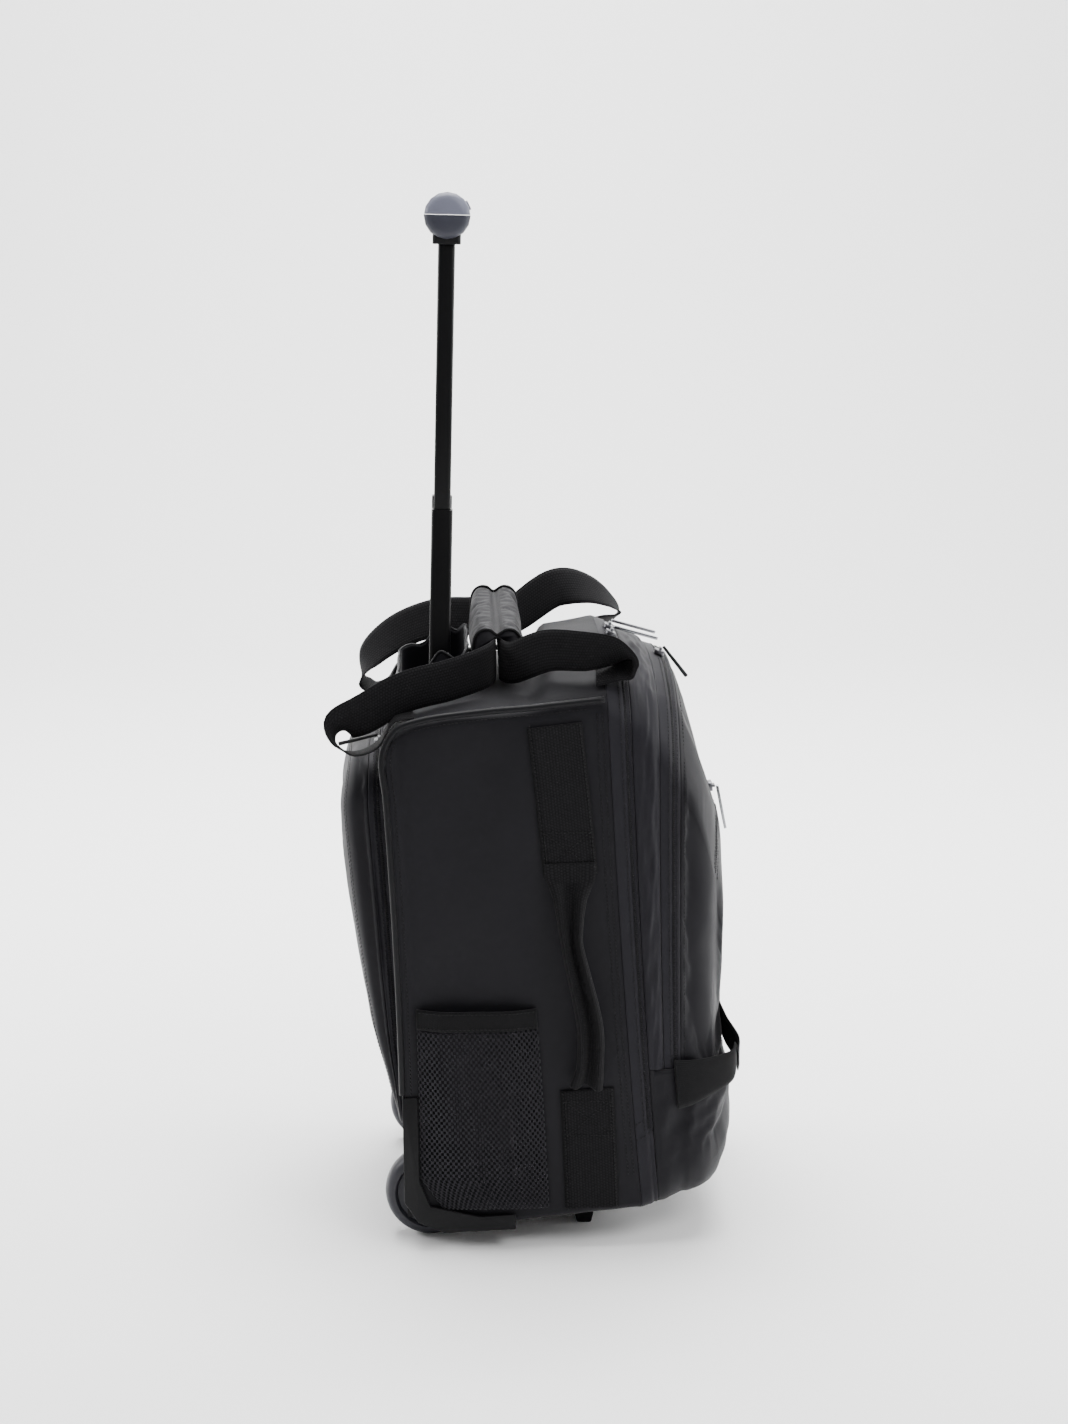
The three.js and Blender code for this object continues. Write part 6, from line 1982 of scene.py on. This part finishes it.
    def wrap(self) -> None:
        """The padded wrap, two lobes of cloth that are filled out and bound at both ends."""
        half = self.length / 2
        along = np.concatenate([[-half], np.linspace(-half + 1.0, half - 1.0, 60), [half]])
        shrink = 0.07 * np.clip((np.abs(along) - half + 9.0) / 9.0, 0, 1) ** 2
        rings = np.array([self.wrap_ring(a, k) for a, k in zip(along, shrink)])
        sheet = Sheet(rings, True, np.array([0.0, -63.0, 528.0]))
        outer = np.abs(rings[..., 1] + 63.0) > 5.0
        slow, quick = ripple(rings, (44, 22, 30), 61, 14), ripple(rings, (14, 30, 14), 62)
        height = (0.6 * slow + 0.15 * quick) * outer
        fade = np.clip((half - np.abs(along)) / 12.0, 0, 1)[:, None]
        made = sheet.pushed(height * fade - 0.4).build("handle_wrap_cloth", first=True, last=True)
        outwards(made)
        inside = np.repeat(fade[:, 0] < 0.3, rings.shape[1]) | ~outer.ravel()
        settle(made, inside[:len(made.data.vertices)], 3.0, 3.0, 0.01)
        pad(made, FABRIC, 0.5, "handle_wrap")
        for at, label in ((-half, "near"), (half, "far")):
            path = self.wrap_ring(at * 0.985, 0.02)
            path = catmull(np.vstack([path[::3], path[:1]]), 160)
            dress(swept(path, 1.5, 8, f"wrap_binding_{label}"), BINDING, "bag")

    def build(self) -> None:
        """Builds the wrap and the straps."""
        self.wrap()
        self.strap("handle_strap_back", self.back_near, self.back_far, self.spread)
        self.strap("handle_strap_front", self.front_near, self.front_far, -self.spread)


def uv_by_box(obj: Piece) -> None:
    """Gives a mesh a UV map in metres, seen along each face's main direction."""
    mesh = obj.data
    layer = mesh.uv_layers.new(name="UVMap")
    for face in mesh.polygons:
        drop = max(range(3), key=lambda k: abs(face.normal[k]))
        keep = [k for k in range(3) if k != drop]
        for loop in face.loop_indices:
            co = mesh.vertices[mesh.loops[loop].vertex_index].co
            layer.data[loop].uv = (co[keep[0]], co[keep[1]])


@dataclass
class ZipHardware:
    """Sliders and their pullers."""

    chrome: tuple = ("main_zip_1", "main_zip_2", "pocket_zip")
    cords: tuple = ("mid_zip", "back_zip")

    def build(self) -> None:
        """Builds each slider and puller from its solid, with rounded edges."""
        for name in self.chrome + self.cords:
            dress(refined(f"{name}_slider", f"{name}_slider_body", 0.45), STEEL, "bag",
                  f"{name}_slider")
        for name in self.chrome:
            dress(refined(f"{name}_puller", f"{name}_puller_bar", 0.4), CHROME, "bag",
                  f"{name}_puller")
        for name in self.cords:
            made = refined(f"{name}_puller", f"{name}_puller_cord", 0.5)
            uv_by_box(made)
            dress(made, CORD, "bag", f"{name}_puller")


@dataclass
class Studio:
    """A pale floor and backdrop, soft lights, and the camera at the photograph's place."""

    eye: tuple = (-2384.46, -14.31, 912.38)
    pitch: float = 10.757
    yaw: float = -2.022
    lens: float = 66.135

    def camera(self) -> None:
        """Puts the camera where it saw the bag from."""
        pitch, yaw = math.radians(self.pitch), math.radians(self.yaw)
        ahead = Vector((math.cos(pitch) * math.cos(yaw), math.cos(pitch) * math.sin(yaw),
                        -math.sin(pitch)))
        right = Vector((math.sin(yaw), -math.cos(yaw), 0.0))
        turn = Matrix((right, right.cross(ahead), -ahead)).transposed().to_4x4()
        data = bpy.data.cameras.new("camera")
        data.lens, data.sensor_width, data.sensor_fit = self.lens, 36.0, "AUTO"
        data.clip_end = 30.0
        made = bpy.data.objects.new("camera", data)
        made.matrix_world = Matrix.Translation(Vector(world(np.array(self.eye)))) @ turn
        bpy.context.scene.collection.objects.link(made)
        bpy.context.scene.camera = made

    def light(self, name: str, place: Sequence[float], size: float, power: float,
              target: Sequence[float] | None = None) -> None:
        """Adds a soft area light that looks at the bag, or at a target if one is given."""
        data = bpy.data.lights.new(name, "AREA")
        data.shape, data.size, data.energy = "DISK", size, power
        made = bpy.data.objects.new(name, data)
        spot = Vector(place)
        made.location = spot
        aim = Vector(target or world(BAG_CENTRE)) - spot
        made.rotation_euler = aim.to_track_quat("-Z", "Y").to_euler()
        bpy.context.scene.collection.objects.link(made)

    def ground(self) -> None:
        """Adds a floor that curves up to a backdrop behind the bag."""
        profile = [(-5.0, 0.0), (3.0, 0.0)]
        profile += [(3.0 + 1.6 * math.sin(a), 1.6 - 1.6 * math.cos(a))
                    for a in np.linspace(0.1, math.pi / 2, 14)]
        profile += [(4.6, 4.0)]
        points, faces = [], []
        for x, z in profile:
            points += [(x, -6.0, z), (x, 6.0, z)]
        for i in range(len(profile) - 1):
            faces.append((2 * i, 2 * i + 2, 2 * i + 3, 2 * i + 1))
        mesh = bpy.data.meshes.new("floor")
        mesh.from_pydata(points, [], faces)
        mesh.polygons.foreach_set("use_smooth", [True] * len(faces))
        made = new_object("floor", mesh)
        paint = bpy.data.materials.new("pale_floor")
        paint.use_nodes = True
        shader = paint.node_tree.nodes["Principled BSDF"]
        shader.inputs["Base Color"].default_value = (0.97, 0.97, 0.97, 1.0)
        shader.inputs["Roughness"].default_value = 0.9
        mesh.materials.append(paint)
        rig.stage(made)

    def build(self) -> None:
        """Sets up the whole studio."""
        self.camera()
        self.ground()
        world_data = bpy.data.worlds.new("studio")
        world_data.use_nodes = True
        sky = world_data.node_tree.nodes["Background"]
        sky.inputs["Color"].default_value = (1.0, 1.0, 1.0, 1.0)
        sky.inputs["Strength"].default_value = 0.5
        bpy.context.scene.world = world_data
        self.light("key", (-1.7, -1.3, 2.2), 1.3, 34.0)
        self.light("front", (0.1, -2.4, 1.0), 1.2, 42.0)
        self.light("top", (0.3, 0.1, 2.6), 1.8, 26.0)
        self.light("back", (0.4, 2.2, 1.3), 1.0, 34.0)
        self.light("floor", (0.6, 0.0, 3.4), 3.0, 190.0, (0.6, 0.0, 0.0))
        self.light("backdrop", (1.4, 0.0, 3.2), 2.5, 260.0, (4.4, 0.0, 1.0))


def write_size() -> None:
    """Writes the box of the solids and of the finished scene."""
    low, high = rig.bounds()
    with open("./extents.json", "w", encoding="utf-8") as out:
        json.dump({"cad": [list(CAD_BOX[0]), list(CAD_BOX[1])], "scene": [list(low), list(high)]},
                  out)


def main() -> None:
    """Builds every sub-assembly, then the studio."""
    logging.basicConfig(level=logging.INFO, format="%(message)s")
    stitching = Stitching()
    MainBody().build(stitching)
    FrontPockets().build(stitching)
    BackCover().build(stitching)
    SideWebbing().build(stitching)
    MeshPocket().build(stitching)
    Compression().build(stitching)
    CarryHandle().build()
    Corners().build()
    Trolley().build()
    ZipHardware().build()
    stitching.build()
    Studio().build()
    write_size()
    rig.finish()


if __name__ == "__main__":
    main()
